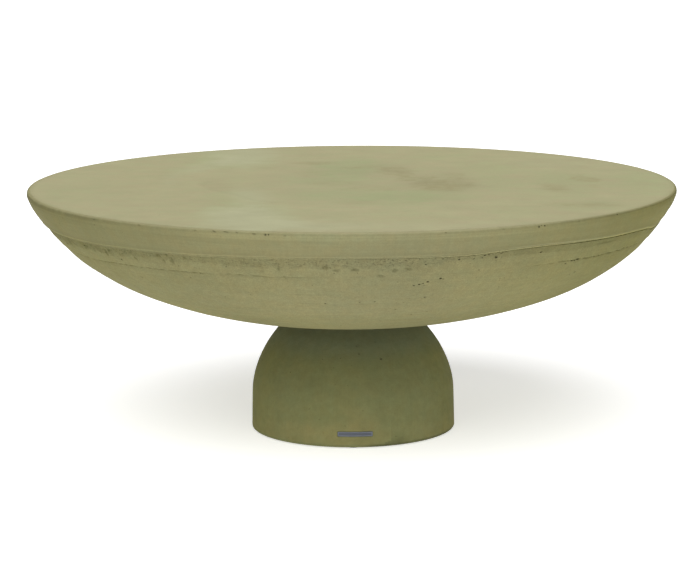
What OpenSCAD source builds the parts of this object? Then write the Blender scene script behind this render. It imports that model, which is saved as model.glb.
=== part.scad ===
// Round pedestal coffee table in cast, through-coloured concrete.
// A wide lens-shaped top (flat slab over a shallow bowl shell, foam core between)
// stands on a small domed pedestal. The two are drawn together by four bolts that
// are reached through the pedestal's open underside.
// Millimetres, Z up. The floor is Z = 0 and the table's axis is the Z axis.

/* [Overall] */
// Height of the table above the floor
table_h = 383; // [375:1:395]
// Outside diameter of the top
top_d = 1000; // [980:5:1020]

/* [Top slab] */
// Thickness of the flat slab
slab_t = 24; // [18:1:25]
// Height of the rim band, from the top face down to the seam
rim_h = 38; // [36:1:42]
// Rounding of the top edge
edge_r = 6; // [4:0.5:7]
// Radius of curvature of the rim band
band_r = 134.7; // [120:1:150]
// Lean of the rim band just under the rounded edge, in degrees from upright
band_lean = 21.6; // [19:0.2:24]

/* [Bowl shell] */
// Half width of the bowl's outer curve
bowl_a = 507.6; // [500:0.2:512]
// Half height of the bowl's outer curve
bowl_b = 275.7; // [270:0.5:280]
// Fullness of the bowl's outer curve, 2 is an ellipse
bowl_n = 2.283; // [2.2:0.01:2.4]
// Wall thickness of the shell
shell_t = 18; // [15:0.5:22]
// Thickness of the mortar bed in the seam
seam_t = 2; // [1.5:0.5:3]
// Radius of the boss that holds the anchor
boss_r = 113; // [108:1:118]
// Height of the flat landing under the bowl
landing_z = 181; // [180:0.5:183]

/* [Pedestal] */
// Radius of the pedestal at the foot
foot_r = 158.9; // [155:0.1:162]
// Radius where the upright wall turns into the dome
wall_r = 157.6; // [155:0.1:158]
// Height of the upright wall
wall_h = 59; // [55:1:62]
// Half height of the dome's curve
dome_b = 158.25; // [155:0.25:162]
// Fullness of the dome's curve, 2 is an ellipse
dome_n = 1.788; // [1.75:0.01:1.85]
// Thickness of the pedestal's roof
roof_t = 36; // [32:1:40]
// Width of the square hollow
hollow_w = 156; // [146:1:160]

/* [Fixings] */
// Thickness of the rubber gasket between bowl and pedestal
gasket_t = 2; // [1.5:0.5:2.5]
// Pitch circle diameter of the bolts
bolt_pcd = 110; // [106:1:116]
// Bolt diameter
bolt_d = 12; // [10:2:12]
// Length of the bolts under the head
bolt_l = 75; // [70:5:75]
// Clearance hole diameter
hole_d = 14; // [13:0.5:15]
// Diameter of the cast-in anchor plate
anchor_d = 190; // [180:2:200]
// Thickness of the anchor plate and the clamp plate
plate_t = 6; // [5:1:6]
// Length of the threaded sockets
socket_l = 36; // [32:1:38]
// Width of the square clamp plate under the pedestal's roof
clamp_w = 138; // [132:2:142]

/* [Floor pads] */
// Number of pads round the foot
pad_n = 6; // [4:1:8]
// Diameter of each pad
pad_d = 26; // [20:1:28]
// Height that the pads stand proud of the concrete
pad_proud = 1.5; // [1:0.5:2]
// Depth of the pad's recess
pad_sink = 3; // [2:0.5:4]

/* [Nameplate] */
// Length of the plate round the pedestal
plate_l = 53; // [45:1:65]
// Height of the plate
plate_h = 7; // [6.5:0.5:10]
// Height of the plate's middle above the floor
plate_z = 22.5; // [20:0.5:26]
// Turn of the plate from the front, in degrees
plate_turn = 1; // [-5:0.5:5]

/* [Hidden] */
$fn = 120;
eps = 0.5;                               // gap round the cast-in core
seam_z = table_h - rim_h;                // underside of the rim band
bowl_top = seam_z - seam_t;              // top edge of the bowl shell
bowl_cz = table_h + 70.1;                // centre height of the bowl's curve
blend_z = table_h - 52;                  // where the bowl's straight top margin ends
foot_z = pad_proud;                      // underside of the concrete
wall_z = foot_z + wall_h;                // where the dome begins
seat_z = landing_z - gasket_t;           // flat top of the pedestal
ceil_z = seat_z - roof_t;                // ceiling of the hollow
clamp_z = ceil_z - plate_t;              // underside of the clamp plate
washer_t = 2.5;
lock_t = 2.5;
head_h = 7.5;
head_z = clamp_z - washer_t - lock_t;    // bearing face of the bolt heads
socket_top = landing_z + socket_l;
boss_top = socket_top + plate_t + 15;
pad_ring = foot_r - 19.4;                // radius of the circle of pads
concrete = [0.64, 0.63, 0.47];
concrete_side = [0.55, 0.53, 0.36];
concrete_foot = [0.46, 0.45, 0.29];
zinc = [0.72, 0.73, 0.75];
dark_rubber = [0.13, 0.13, 0.13];

// ---- curves -------------------------------------------------------------
// superellipse, by the angle t: half width a, half height b, fullness n
function se_r(a, n, t) = a * pow(cos(t), 2 / n);
function se_d(b, n, t) = b * pow(sin(t), 2 / n);
function se_t(b, n, d) = asin(pow(d / b, n / 2));
function se_at(a, b, n, d) = a * pow(1 - pow(d / b, n), 1 / n);

// centre of the top edge's rounding, and of the rim band's curve
edge_cr = top_d / 2 - edge_r;
edge_cz = table_h - edge_r;
band_cr = edge_cr - (band_r - edge_r) * cos(band_lean);
band_cz = edge_cz + (band_r - edge_r) * sin(band_lean);
band_end = asin((band_cz - seam_z) / band_r);
lip_r = band_cr + band_r * cos(band_end) - 2.3;  // top edge of the bowl shell
bowl_in_a = bowl_a - shell_t;
bowl_in_b = bowl_b - shell_t;
skirt_r = se_at(bowl_in_a, bowl_in_b, bowl_n, bowl_cz - bowl_top);

function edge_arc(k = 10) = [for (i = [0:k])
    let (t = 90 - i * (90 + band_lean) / k)
    [edge_cr + edge_r * cos(t), edge_cz + edge_r * sin(t)]];
function band_arc(k = 12) = [for (i = [1:k])
    let (t = band_lean + i * (band_end - band_lean) / k)
    [band_cr + band_r * cos(t), band_cz - band_r * sin(t)]];
// a bowl curve from height z0 down to height z1
function bowl_curve(a, b, z0, z1, k) =
    let (t0 = se_t(b, bowl_n, bowl_cz - z0), t1 = se_t(b, bowl_n, bowl_cz - z1))
    [for (i = [0:k]) let (t = t0 + i * (t1 - t0) / k)
        [se_r(a, bowl_n, t), bowl_cz - se_d(b, bowl_n, t)]];
// a dome curve from height z0 up to height z1
function dome_curve(a, b, z0, z1, k) =
    let (t0 = se_t(b, dome_n, z0 - wall_z), t1 = se_t(b, dome_n, z1 - wall_z))
    [for (i = [0:k]) let (t = t0 + i * (t1 - t0) / k)
        [se_r(a, dome_n, t), wall_z + se_d(b, dome_n, t)]];
function wall_at(z) = foot_r + (wall_r - foot_r) * (z - foot_z) / wall_h;
// height of the shell's inside at radius r
function bowl_in_z(r) =
    bowl_cz - bowl_in_b * pow(1 - pow(r / bowl_in_a, bowl_n), 1 / bowl_n);

module at_bolts(z) {
    for (i = [0:3]) rotate([0, 0, 45 + 90 * i])
        translate([bolt_pcd / 2, 0, z]) children();
}

// ---- tabletop -----------------------------------------------------------
// flat slab with its rim band, one casting
module tabletop_slab() {
    color(concrete)
    rotate_extrude()
        polygon(concat([[0, table_h]], edge_arc(), band_arc(),
            [[skirt_r, seam_z], [skirt_r, table_h - slab_t - 8],
             [skirt_r - 8, table_h - slab_t], [0, table_h - slab_t]]));
}

// bedding mortar in the seam, struck back a little from the face
module seam_mortar() {
    color(concrete_foot)
    translate([0, 0, bowl_top])
        difference() {
            cylinder(r = lip_r - 3, h = seam_t);
            translate([0, 0, -1]) cylinder(r = skirt_r + 3, h = seam_t + 2);
        }
}

// lower shell with a thick boss over the pedestal
module bowl_shell() {
    base_r = boss_r + 14;
    color(concrete_side)
    difference() {
        rotate_extrude()
            polygon(concat([[lip_r, bowl_top]],
                bowl_curve(bowl_a, bowl_b, blend_z, landing_z, 36),
                [[0, landing_z], [0, boss_top], [boss_r - 4, boss_top],
                 [boss_r, boss_top - 4]],
                [for (p = bowl_curve(bowl_in_a, bowl_in_b, bowl_in_z(base_r), bowl_top, 30)) p]));
        translate([0, 0, socket_top]) anchor_disc();
        at_bolts(landing_z - 1) cylinder(d = 19 / cos(30), h = socket_l + 1, $fn = 6);
    }
}

// foam that carries the slab while it cures, and stays in
module foam_core() {
    top_z = table_h - slab_t - eps;
    base_r = boss_r + 14 + eps;
    color("white")
    rotate_extrude()
        polygon(concat(
            [[0, top_z], [skirt_r - 8 - eps, top_z], [skirt_r - eps, top_z - 8],
             [skirt_r - eps, bowl_top + 3]],
            bowl_curve(bowl_in_a - 1, bowl_in_b - 1, bowl_top, bowl_in_z(base_r) + 1.6, 30),
            [[boss_r + eps, boss_top - 4], [boss_r - 4, boss_top + eps],
             [0, boss_top + eps]]));
}

// ---- cast-in anchor -----------------------------------------------------
// disc with four keying holes for the concrete
module anchor_disc() {
    difference() {
        cylinder(d = anchor_d, h = plate_t);
        for (i = [0:3]) rotate([0, 0, 90 * i])
            translate([bolt_pcd / 2 + 10, 0, -1]) cylinder(d = 24, h = plate_t + 2);
    }
}

module anchor_plate() {
    color(zinc) translate([0, 0, socket_top]) anchor_disc();
}

// long hexagon nuts, welded under the plate and flush with the landing
module anchor_sockets() {
    color(zinc)
    at_bolts(landing_z)
        difference() {
            cylinder(d = 19 / cos(30), h = socket_l, $fn = 6);
            translate([0, 0, -1]) cylinder(d = bolt_d + 0.1, h = socket_l);
        }
}

// ---- joint between top and pedestal -------------------------------------
module seat_gasket() {
    color(dark_rubber)
    translate([0, 0, seat_z])
        difference() {
            cylinder(r = 90, h = gasket_t);
            translate([0, 0, -1]) cylinder(r = 30, h = gasket_t + 2);
            at_bolts(-1) cylinder(d = hole_d, h = gasket_t + 2);
        }
}

// ---- pedestal -----------------------------------------------------------
// upright wall under a dome with a flat seat on top, cast round a square block
// that leaves a hollow open below
module pedestal_shell() {
    seat_r = se_at(wall_r, dome_b, dome_n, seat_z - wall_z);
    color(concrete_foot)
    difference() {
        rotate_extrude()
            polygon(concat(
                [[foot_r - 2, foot_z], [foot_r - 0.6, foot_z + 0.6], [wall_at(foot_z + 2), foot_z + 2]],
                dome_curve(wall_r, dome_b, wall_z, seat_z - 1.5, 26),
                [[seat_r - 1.2, seat_z], [0, seat_z], [0, foot_z]]));
        translate([-hollow_w / 2, -hollow_w / 2, foot_z - 1])
            cube([hollow_w, hollow_w, ceil_z - foot_z + 1]);
        at_bolts(ceil_z - 1) cylinder(d = hole_d, h = roof_t + 2);
        for (i = [0:pad_n - 1]) rotate([0, 0, 360 / pad_n * (i + 0.5)])
            translate([pad_ring, 0, foot_z - 1]) cylinder(d = pad_d, h = pad_sink + 1);
        plate_sector(wall_at(plate_z) - 0.9, wall_at(plate_z) + 5, 0.5);
    }
}

// spreads the bolts' pull over the pedestal's roof
module clamp_plate() {
    color(zinc)
    difference() {
        intersection() {
            translate([-clamp_w / 2, -clamp_w / 2, clamp_z])
                cube([clamp_w, clamp_w, plate_t]);
            translate([0, 0, clamp_z - 1]) cylinder(d = clamp_w * 1.3, h = plate_t + 2);
        }
        translate([0, 0, clamp_z - 1]) cylinder(d = 50, h = plate_t + 2);
        at_bolts(clamp_z - 1) cylinder(d = hole_d, h = plate_t + 2);
    }
}

module flat_washers() {
    color(zinc)
    at_bolts(clamp_z - washer_t)
        difference() {
            cylinder(d = 24, h = washer_t);
            translate([0, 0, -1]) cylinder(d = bolt_d + 1, h = washer_t + 2);
        }
}

// split spring washers
module lock_washers() {
    color(zinc)
    at_bolts(head_z)
        difference() {
            cylinder(d = 21, h = lock_t);
            translate([0, 0, -1]) cylinder(d = bolt_d + 0.4, h = lock_t + 2);
            rotate([0, 0, 45]) translate([4, -0.9, -1]) cube([9, 1.8, lock_t + 2]);
        }
}

// hexagon head bolts, chamfered at the point
module fixing_bolts() {
    color(zinc)
    at_bolts(head_z) {
        translate([0, 0, -head_h]) cylinder(d = 18 / cos(30), h = head_h, $fn = 6);
        cylinder(d = bolt_d, h = bolt_l - 1.5);
        translate([0, 0, bolt_l - 1.5]) cylinder(d1 = bolt_d, d2 = bolt_d - 3, h = 1.5);
    }
}

// ---- floor pads ---------------------------------------------------------
module floor_pads() {
    color(dark_rubber)
    for (i = [0:pad_n - 1]) rotate([0, 0, 360 / pad_n * (i + 0.5)])
        translate([pad_ring, 0, 0]) cylinder(d = pad_d, h = pad_proud + pad_sink);
}

// ---- nameplate ----------------------------------------------------------
// curved strip round the pedestal between two radii, g larger all round
module plate_sector(r0, r1, g = 0) {
    span = (plate_l + 2 * g) / wall_at(plate_z) * 180 / PI;
    translate([0, 0, plate_z - plate_h / 2 - g])
        rotate([0, 0, -90 + plate_turn - span / 2])
            rotate_extrude(angle = span)
                translate([r0, 0]) square([r1 - r0, plate_h + 2 * g]);
}

module nameplate_adhesive() {
    color("gray")
    plate_sector(wall_at(plate_z) - 0.9, wall_at(plate_z) - 0.6, -0.5);
}

// plain metal plate without any marking
module nameplate() {
    color([0.55, 0.58, 0.62])
    plate_sector(wall_at(plate_z) - 0.6, wall_at(plate_z) + 0.4);
}

tabletop_slab();
seam_mortar();
bowl_shell();
foam_core();
anchor_plate();
anchor_sockets();
seat_gasket();
pedestal_shell();
clamp_plate();
flat_washers();
lock_washers();
fixing_bolts();
floor_pads();
nameplate();
nameplate_adhesive();
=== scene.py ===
import math

import bmesh
import bpy
import numpy as np
from mathutils import Matrix, Vector
from mathutils.kdtree import KDTree


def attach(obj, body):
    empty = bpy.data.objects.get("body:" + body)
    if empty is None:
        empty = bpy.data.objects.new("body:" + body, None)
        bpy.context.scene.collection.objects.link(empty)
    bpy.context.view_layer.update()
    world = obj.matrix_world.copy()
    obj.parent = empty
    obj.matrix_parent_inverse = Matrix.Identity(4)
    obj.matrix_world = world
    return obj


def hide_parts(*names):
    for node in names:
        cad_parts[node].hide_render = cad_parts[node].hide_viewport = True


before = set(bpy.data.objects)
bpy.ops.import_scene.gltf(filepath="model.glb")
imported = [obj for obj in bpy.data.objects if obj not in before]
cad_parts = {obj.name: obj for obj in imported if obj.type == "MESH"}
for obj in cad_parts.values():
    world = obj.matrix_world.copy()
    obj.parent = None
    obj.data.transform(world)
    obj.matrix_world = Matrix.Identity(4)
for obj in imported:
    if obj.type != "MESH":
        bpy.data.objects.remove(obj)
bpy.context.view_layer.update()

# Everything below is worked out in millimetres, in the CAD's frame, and written to
# the meshes in metres. phi is the angle round the table in degrees: 0 is the front
# (-Y), + is to the right (+X).
MM = 0.001
scene = bpy.context.scene

# ---------------------------------------------------------------- numbers of the part
TABLE_H = 383.0
EDGE_R, EDGE_CR, EDGE_CZ = 6.0, 494.0, 377.0
BAND_R, LEAN = 134.7, 21.6
BAND_CR = EDGE_CR - (BAND_R - EDGE_R) * math.cos(math.radians(LEAN))
BAND_CZ = EDGE_CZ + (BAND_R - EDGE_R) * math.sin(math.radians(LEAN))
SEAM_Z, SEAM_T = 345.0, 2.0
BLEND_Z, LANDING_Z = 331.0, 181.0
BOWL_A, BOWL_B, BOWL_N, BOWL_CZ = 507.6, 275.7, 2.283, 453.1
SHELL_T, BOSS_R, BOSS_TOP, SOCKET_TOP = 18.0, 113.0, 238.0, 217.0
FOOT_R, FOOT_Z, WALL_R, WALL_Z = 158.9, 1.5, 157.6, 60.5
DOME_B, DOME_N, SEAT_Z, CEIL_Z = 158.25, 1.788, 179.0, 143.0
HOLLOW_W, CLAMP_W, CLAMP_Z, PLATE_T = 156.0, 138.0, 137.0, 6.0
BOLT_PCD, PAD_RING, PAD_D = 110.0, 139.5, 26.0
PLATE_L, PLATE_H, PLATE_Z, PLATE_TURN = 53.0, 7.0, 22.5, 1.0


def se_at(a, b, n, d):
    return a * np.power(np.clip(1 - np.power(np.clip(d, 0, None) / b, n), 0, 1), 1 / n)


SKIRT_R = float(se_at(BOWL_A - SHELL_T, BOWL_B - SHELL_T, BOWL_N, BOWL_CZ - (SEAM_Z - SEAM_T)))

# ---------------------------------------------------------------- noise
_rs = np.random.RandomState(20)
_perm = np.concatenate([_rs.permutation(256), ] * 3)
_g = _rs.normal(size=(256, 3))
_g /= np.linalg.norm(_g, axis=1)[:, None]


def perlin(p, seed=0):
    """Gradient noise of points (..., 3), about -1 to 1."""
    p = np.asarray(p, float) + 37.13 * (seed + 1)
    i = np.floor(p).astype(np.int64)
    f = p - i
    u = f * f * f * (f * (f * 6 - 15) + 10)
    i &= 255
    out = 0.0
    for dx in (0, 1):
        hx = _perm[i[..., 0] + dx]
        wx = u[..., 0] if dx else 1 - u[..., 0]
        for dy in (0, 1):
            hy = _perm[hx + i[..., 1] + dy]
            wy = u[..., 1] if dy else 1 - u[..., 1]
            for dz in (0, 1):
                h = _perm[(hy + i[..., 2] + dz) & 255]
                wz = u[..., 2] if dz else 1 - u[..., 2]
                g = _g[h]
                out = out + wx * wy * wz * (
                    g[..., 0] * (f[..., 0] - dx) + g[..., 1] * (f[..., 1] - dy) + g[..., 2] * (f[..., 2] - dz))
    return out * 1.7


def fbm(p, octaves=3, seed=0, gain=0.5):
    a, t, out = 1.0, 0.0, 0.0
    for k in range(octaves):
        out = out + a * perlin(np.asarray(p) * (2.03 ** k), seed + 11 * k)
        t += a
        a *= gain
    return out / t


def smooth(x):
    x = np.clip(x, 0, 1)
    return x * x * (3 - 2 * x)


def around(points):
    """Smooth periodic curve through (phi, value) points."""
    pts = sorted(points)
    x = np.array([p[0] for p in pts], float)
    y = np.array([p[1] for p in pts], float)
    x = np.concatenate([x - 360, x, x + 360])
    y = np.concatenate([y, y, y])
    m = np.gradient(y, x)

    def f(phi):
        q = (np.asarray(phi, float) + 180) % 360 - 180
        k = np.clip(np.searchsorted(x, q) - 1, 0, len(x) - 2)
        h = x[k + 1] - x[k]
        t = (q - x[k]) / h
        return ((2 * t ** 3 - 3 * t ** 2 + 1) * y[k] + (t ** 3 - 2 * t ** 2 + t) * h * m[k]
                + (-2 * t ** 3 + 3 * t ** 2) * y[k + 1] + (t ** 3 - t ** 2) * h * m[k + 1])
    return f


def xyz(phi, r, z):
    a = np.radians(phi)
    return np.stack([r * np.sin(a), -r * np.cos(a), z + 0 * a], -1)


# ---------------------------------------------------------------- lathe with changing ring counts
class Skin:
    """A closed surface built ring by ring round the Z axis, from the top's middle
    outward, down and back, so that every face looks outward."""

    def __init__(self):
        self.v, self.f, self.att, self.n, self.prev = [], [], {}, 0, None

    def ring(self, n, r, z, **att):
        phi = np.arange(n) * (360.0 / n)
        r = np.broadcast_to(np.asarray(r, float), (n,))
        z = np.broadcast_to(np.asarray(z, float), (n,))
        a0 = self.n
        self.v.append(xyz(phi, r, z))
        for key in set(att) | set(self.att):
            if key not in self.att:
                self.att[key] = [np.zeros(a0)]
            self.att[key].append(np.broadcast_to(np.asarray(att.get(key, 0.0), float), (n,)))
        self.n += n
        if self.prev is not None:
            self._join(*self.prev, a0, n)
        self.prev = (a0, n)

    def _join(self, a, n, b, m):
        if n == 1:
            k = np.arange(m)
            self.f.append(np.stack([np.full(m, a), b + k, b + (k + 1) % m], 1))
        elif m == 1:
            k = np.arange(n)
            self.f.append(np.stack([a + k, np.full(n, b), a + (k + 1) % n], 1))
        elif n == m:
            k = np.arange(n)
            k1 = (k + 1) % n
            self.f.append(np.stack([a + k, b + k, b + k1, a + k1], 1))
        elif n == 2 * m:
            k = np.arange(m)
            k1 = (k + 1) % m
            e, o, e2 = a + 2 * k, a + 2 * k + 1, a + (2 * k + 2) % n
            self.f += [np.stack([e, b + k, o], 1), np.stack([o, b + k, b + k1], 1), np.stack([o, b + k1, e2], 1)]
        elif m == 2 * n:
            k = np.arange(n)
            k1 = (k + 1) % n
            e, o, e2 = b + 2 * k, b + 2 * k + 1, b + (2 * k + 2) % m
            self.f += [np.stack([a + k, e, o], 1), np.stack([a + k, o, a + k1], 1), np.stack([a + k1, o, e2], 1)]
        else:
            raise ValueError((n, m))

    def close(self):
        """Joins the last ring to the first one."""
        n = len(self.v[0])
        self._join(*self.prev, 0, n)

    def mesh(self, name, sharp=40):
        v = np.concatenate(self.v) * MM
        faces = []
        for f in self.f:
            faces += f.tolist()
        me = bpy.data.meshes.new(name)
        me.from_pydata(v.tolist(), [], faces)
        for key, parts in self.att.items():
            at = me.attributes.new(key, "FLOAT", "POINT")
            at.data.foreach_set("value", np.concatenate(parts).astype(np.float32))
        me.shade_smooth()
        if sharp:
            me.set_sharp_from_angle(angle=math.radians(sharp))
        me.update()
        return me


def add(name, me, mat=None, replaces=None):
    ob = bpy.data.objects.new(name, me)
    scene.collection.objects.link(ob)
    if mat is not None:
        me.materials.clear()
        me.materials.append(mat)
    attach(ob, "root")
    if replaces:
        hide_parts(replaces)
    return ob


def read_points(me, keys=()):
    n = len(me.vertices)
    co = np.empty(n * 3, np.float32)
    me.vertices.foreach_get("co", co)
    out = {}
    for k in keys:
        a = np.zeros(n, np.float32)
        if k in me.attributes:
            me.attributes[k].data.foreach_get("value", a)
        out[k] = a
    return co.reshape(-1, 3), out


def tree_of(co):
    t = KDTree(len(co))
    for i, c in enumerate(co):
        t.insert(c, i)
    t.balance()
    return t


def cut(me, cutter, name, sharp=40):
    """Mesh me minus the closed mesh cutter. A cutter with a tone brings it into the hollows as painted shade, and new
    points at the cut's rims get painted shade too.
    """
    before = len(me.vertices)
    keys = [a.name for a in me.attributes if a.domain == "POINT" and a.data_type == "FLOAT"] if "tone" in cutter.attributes else []
    if keys:
        tree_a, at_a = tree_of(read_points(me)[0]), read_points(me, keys)[1]
        own = [k for k in keys if k in cutter.attributes]
        tree_b, at_b = tree_of(read_points(cutter)[0]), read_points(cutter, own)[1]
    a = bpy.data.objects.new(name + "_a", me)
    b = bpy.data.objects.new(name + "_b", cutter)
    scene.collection.objects.link(a)
    scene.collection.objects.link(b)
    md = a.modifiers.new("cut", "BOOLEAN")
    md.operation, md.solver, md.object = "DIFFERENCE", "MANIFOLD", b
    dg = bpy.context.evaluated_depsgraph_get()
    dg.update()
    out = bpy.data.meshes.new_from_object(a.evaluated_get(dg))
    out.name = name
    for o in (a, b):
        bpy.data.objects.remove(o)
    for m in (me, cutter):
        if m.users == 0:
            bpy.data.meshes.remove(m)
    if len(out.polygons) == 0 or len(out.vertices) == before:
        raise RuntimeError("the cut failed on " + name)
    if keys:
        co = read_points(out)[0]
        vals = {k: np.zeros(len(co), np.float32) for k in keys}
        for i, c in enumerate(co):
            _, j, d = tree_a.find(c)
            for k in keys:
                vals[k][i] = at_a[k][j]
            _, jb, db = tree_b.find(c)
            if db < 3e-6:
                for k in own:
                    vals[k][i] = at_b[k][jb]
            elif d > 3e-6:
                # painted shade on the rims the cut makes
                vals["tone"][i] -= 0.18
        for k in keys:
            if k not in out.attributes:
                out.attributes.new(k, "FLOAT", "POINT")
            out.attributes[k].data.foreach_set("value", vals[k])
    if sharp:
        out.set_sharp_from_angle(angle=math.radians(sharp))
    return out


def main_body(me):
    """Keeps the largest connected part: a hollow that never reaches the surface goes."""
    bm = bmesh.new()
    bm.from_mesh(me)
    bm.verts.ensure_lookup_table()
    seen = [False] * len(bm.verts)
    parts = []
    for v in bm.verts:
        if seen[v.index]:
            continue
        seen[v.index] = True
        part, stack = [], [v]
        while stack:
            a = stack.pop()
            part.append(a)
            for e in a.link_edges:
                b = e.other_vert(a)
                if not seen[b.index]:
                    seen[b.index] = True
                    stack.append(b)
        parts.append(part)
    parts.sort(key=len)
    drop = [v for part in parts[:-1] for v in part]
    if drop:
        bmesh.ops.delete(bm, geom=drop, context="VERTS")
        bm.to_mesh(me)
    bm.free()
    return me


def disc_part(rings, n=96, name="disc", sharp=30, hole=False):
    """Small lathe part from a list of (r, z) corners, top to bottom."""
    s = Skin()
    for r, z in rings:
        if r == 0:
            s.ring(1, 0, z)
        else:
            s.ring(n, r, z)
    if hole:
        s.close()
    return s.mesh(name, sharp)


def joined(meshes_at, name):
    """One mesh from (mesh, matrix) pairs."""
    bm = bmesh.new()
    for me, mx in meshes_at:
        t = me.copy()
        t.transform(mx)
        bm.from_mesh(t)
        bpy.data.meshes.remove(t)
    out = bpy.data.meshes.new(name)
    bm.to_mesh(out)
    bm.free()
    return out


# ---------------------------------------------------------------- the outer outline
def outline():
    pts = []
    for t in np.linspace(LEAN, math.degrees(math.asin((BAND_CZ - SEAM_Z) / BAND_R)), 120):
        z = BAND_CZ - BAND_R * math.sin(math.radians(t))
        r = BAND_CR + BAND_R * math.cos(math.radians(t))
        pts.append((r - 0.25 * smooth((363 - z) / 14) + 0.5 * math.exp(-((z - 363.5) / 7) ** 2), z))
    r0 = pts[-1][0]
    r1 = float(se_at(BOWL_A, BOWL_B, BOWL_N, BOWL_CZ - BLEND_Z))
    for k in range(1, 30):
        pts.append((r0 + (r1 - r0) * k / 30, SEAM_Z + (BLEND_Z - SEAM_Z) * k / 30))
    t0 = math.asin(((BOWL_CZ - BLEND_Z) / BOWL_B) ** (BOWL_N / 2))
    t1 = math.asin(((BOWL_CZ - LANDING_Z) / BOWL_B) ** (BOWL_N / 2))
    for t in np.linspace(t0, t1, 900):
        pts.append((BOWL_A * math.cos(t) ** (2 / BOWL_N), BOWL_CZ - BOWL_B * math.sin(t) ** (2 / BOWL_N)))
    p = np.array(pts)
    s = np.concatenate([[0], np.cumsum(np.hypot(*np.diff(p, axis=0).T))])
    q = np.arange(0, s[-1], 0.5)
    r, z = np.interp(q, s, p[:, 0]), np.interp(q, s, p[:, 1])
    k = np.exp(-0.5 * (np.arange(-24, 25) / 8.0) ** 2)
    k /= k.sum()
    for a in (r, z):
        pad = np.concatenate([2 * a[0] - a[24:0:-1], a, 2 * a[-1] - a[-2:-26:-1]])
        a[:] = np.convolve(pad, k, "valid")
    tr, tz = np.gradient(r), np.gradient(z)
    l = np.hypot(tr, tz)
    return q, r, z, -tz / l, tr / l


O_S, O_R, O_Z, O_NR, O_NZ = outline()


def s_at(z):
    return np.interp(-np.asarray(z, float), -O_Z, O_S)


def on_outline(s):
    return (np.interp(s, O_S, O_R), np.interp(s, O_S, O_Z), np.interp(s, O_S, O_NR), np.interp(s, O_S, O_NZ))


# height of the seam's light lower edge, as the hand-struck joint wanders
seam_height = around([
    (-175, 344.6), (-150, 345.6), (-125, 343.8), (-100, 342.4), (-82, 340.4), (-70, 339.3), (-60, 339.1), (-50, 339.8),
    (-40, 341.8), (-30, 342.5), (-20, 344.4), (-10, 345.9), (0, 346.2), (10, 346.3), (20, 346.4), (27, 349.6), (33, 350.8),
    (40, 349.8), (50, 348.4), (60, 346.8), (64, 344.8), (67, 341.8), (70, 339.2), (75, 338.2), (82, 338.0), (92, 340.2), (103, 343.4), (120, 345.9), (140, 344.4), (160, 345.8)])
# how much of the joint is smeared over (1) or crisp and open (0)
smear = around([(-170, 0.35), (-140, 0.9), (-110, 0.75), (-80, 0.9), (-60, 1.0), (-30, 0.9), (-10, 0.8), (6, 0.75), (14, 0.6),
                (22, 0.3), (32, 0.1), (60, 0.0), (80, 0.1), (110, 0.5), (140, 0.15)])
# height of the light bead along the band's lower edge
bead_h = around([(-170, 0.7), (-130, 0.5), (-100, 0.8), (-70, 0.95), (-50, 0.9), (-35, 0.7), (-20, 0.6), (0, 0.4), (12, 0.3), (22, 0.1), (28, 0.4),
                 (40, 0.75), (60, 0.8), (75, 0.7), (100, 0.6), (130, 0.8)])
# painted shade: a thin dark line just under the lip
lip_painted_shade = around([(-170, 0.12), (-120, 0.14), (-80, 0.31), (-60, 0.31), (-50, 0.27), (-40, 0.19), (-30, 0.11), (-20, 0.09), (0, 0.07), (20, 0.09), (30, 0.14), (40, 0.24), (50, 0.29),
                   (60, 0.29), (80, 0.29), (120, 0.14)])
# painted highlight along the bead's top, where it catches the light
bead_painted_highlight = around([(-170, 0.18), (-130, 0.12), (-100, 0.18), (-70, 0.30), (-60, 0.30), (-50, 0.25), (-40, 0.24), (-30, 0.19), (-20, 0.20), (-10, 0.12), (0, 0.14), (10, 0.13),
                    (20, -0.04), (30, 0.20), (40, 0.36), (50, 0.20), (60, 0.34), (75, 0.40), (110, 0.16), (145, 0.22)])
# step in the band a third of the way down, and painted light and shade just under the lip: lighter at the front, darker
# at the sides
band_step = around([(-170, 0.5), (-130, 0.9), (-95, 0.4), (-60, 0.5), (-45, 0.9), (-35, 1.1), (-25, 1.2), (-18, 0.9), (-8, 0.6), (5, 0.6), (20, 0.6), (33, 0.5), (45, 0.1), (55, 0.3), (80, 0.3), (110, 0.9), (145, 0.4)])
lip_painted_light_and_shade = around([(-170, -0.03), (-120, 0.02), (-80, -0.11), (-60, -0.11), (-50, -0.04), (-40, 0.02), (-30, 0.05), (-22, 0.14), (-10, 0.12), (0, 0.15), (10, 0.12), (22, 0.14), (33, 0.09), (45, -0.01), (60, -0.05), (80, -0.07), (120, 0.0)])
# how far the bowl's top margin sits back under the band
setback = around([(-170, 0.7), (-140, 1.0), (-110, 1.2), (-84, 0.9), (-70, 0.8), (-60, 0.8), (-40, 0.75), (-25, 0.65), (-10, 0.6), (5, 0.55), (20, 0.4),
                  (40, 0.3), (60, 0.4), (75, 0.45), (100, 0.55), (140, 0.5)])
setback_w = around([(-170, 4), (-110, 6), (-60, 7.5), (-40, 6.5), (-20, 4.5), (0, 3.5), (20, 2.5), (60, 3), (100, 4)])
# painted shade on the bowl's margin under the band's overhang: how much darker, and over what height
margin_painted_shade = around([(-170, 0.12), (-140, 0.15), (-110, 0.12), (-80, 0.17), (-60, 0.19), (-50, 0.18), (-40, 0.16), (-30, 0.13), (-20, 0.12), (-10, 0.10), (0, 0.10),
                 (10, 0.075), (20, 0.07), (30, 0.15), (40, 0.135), (50, 0.14), (60, 0.10), (68, 0.07), (80, 0.09), (110, 0.13), (145, 0.11)])
margin_w = around([(-170, 7), (-130, 10), (-90, 13), (-60, 14.5), (-50, 14), (-40, 13.5), (-30, 12.5), (-20, 16), (-10, 17), (0, 15), (10, 19), (20, 9),
                   (30, 11), (40, 15), (50, 11.5), (60, 11), (90, 9), (130, 9)])
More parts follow.
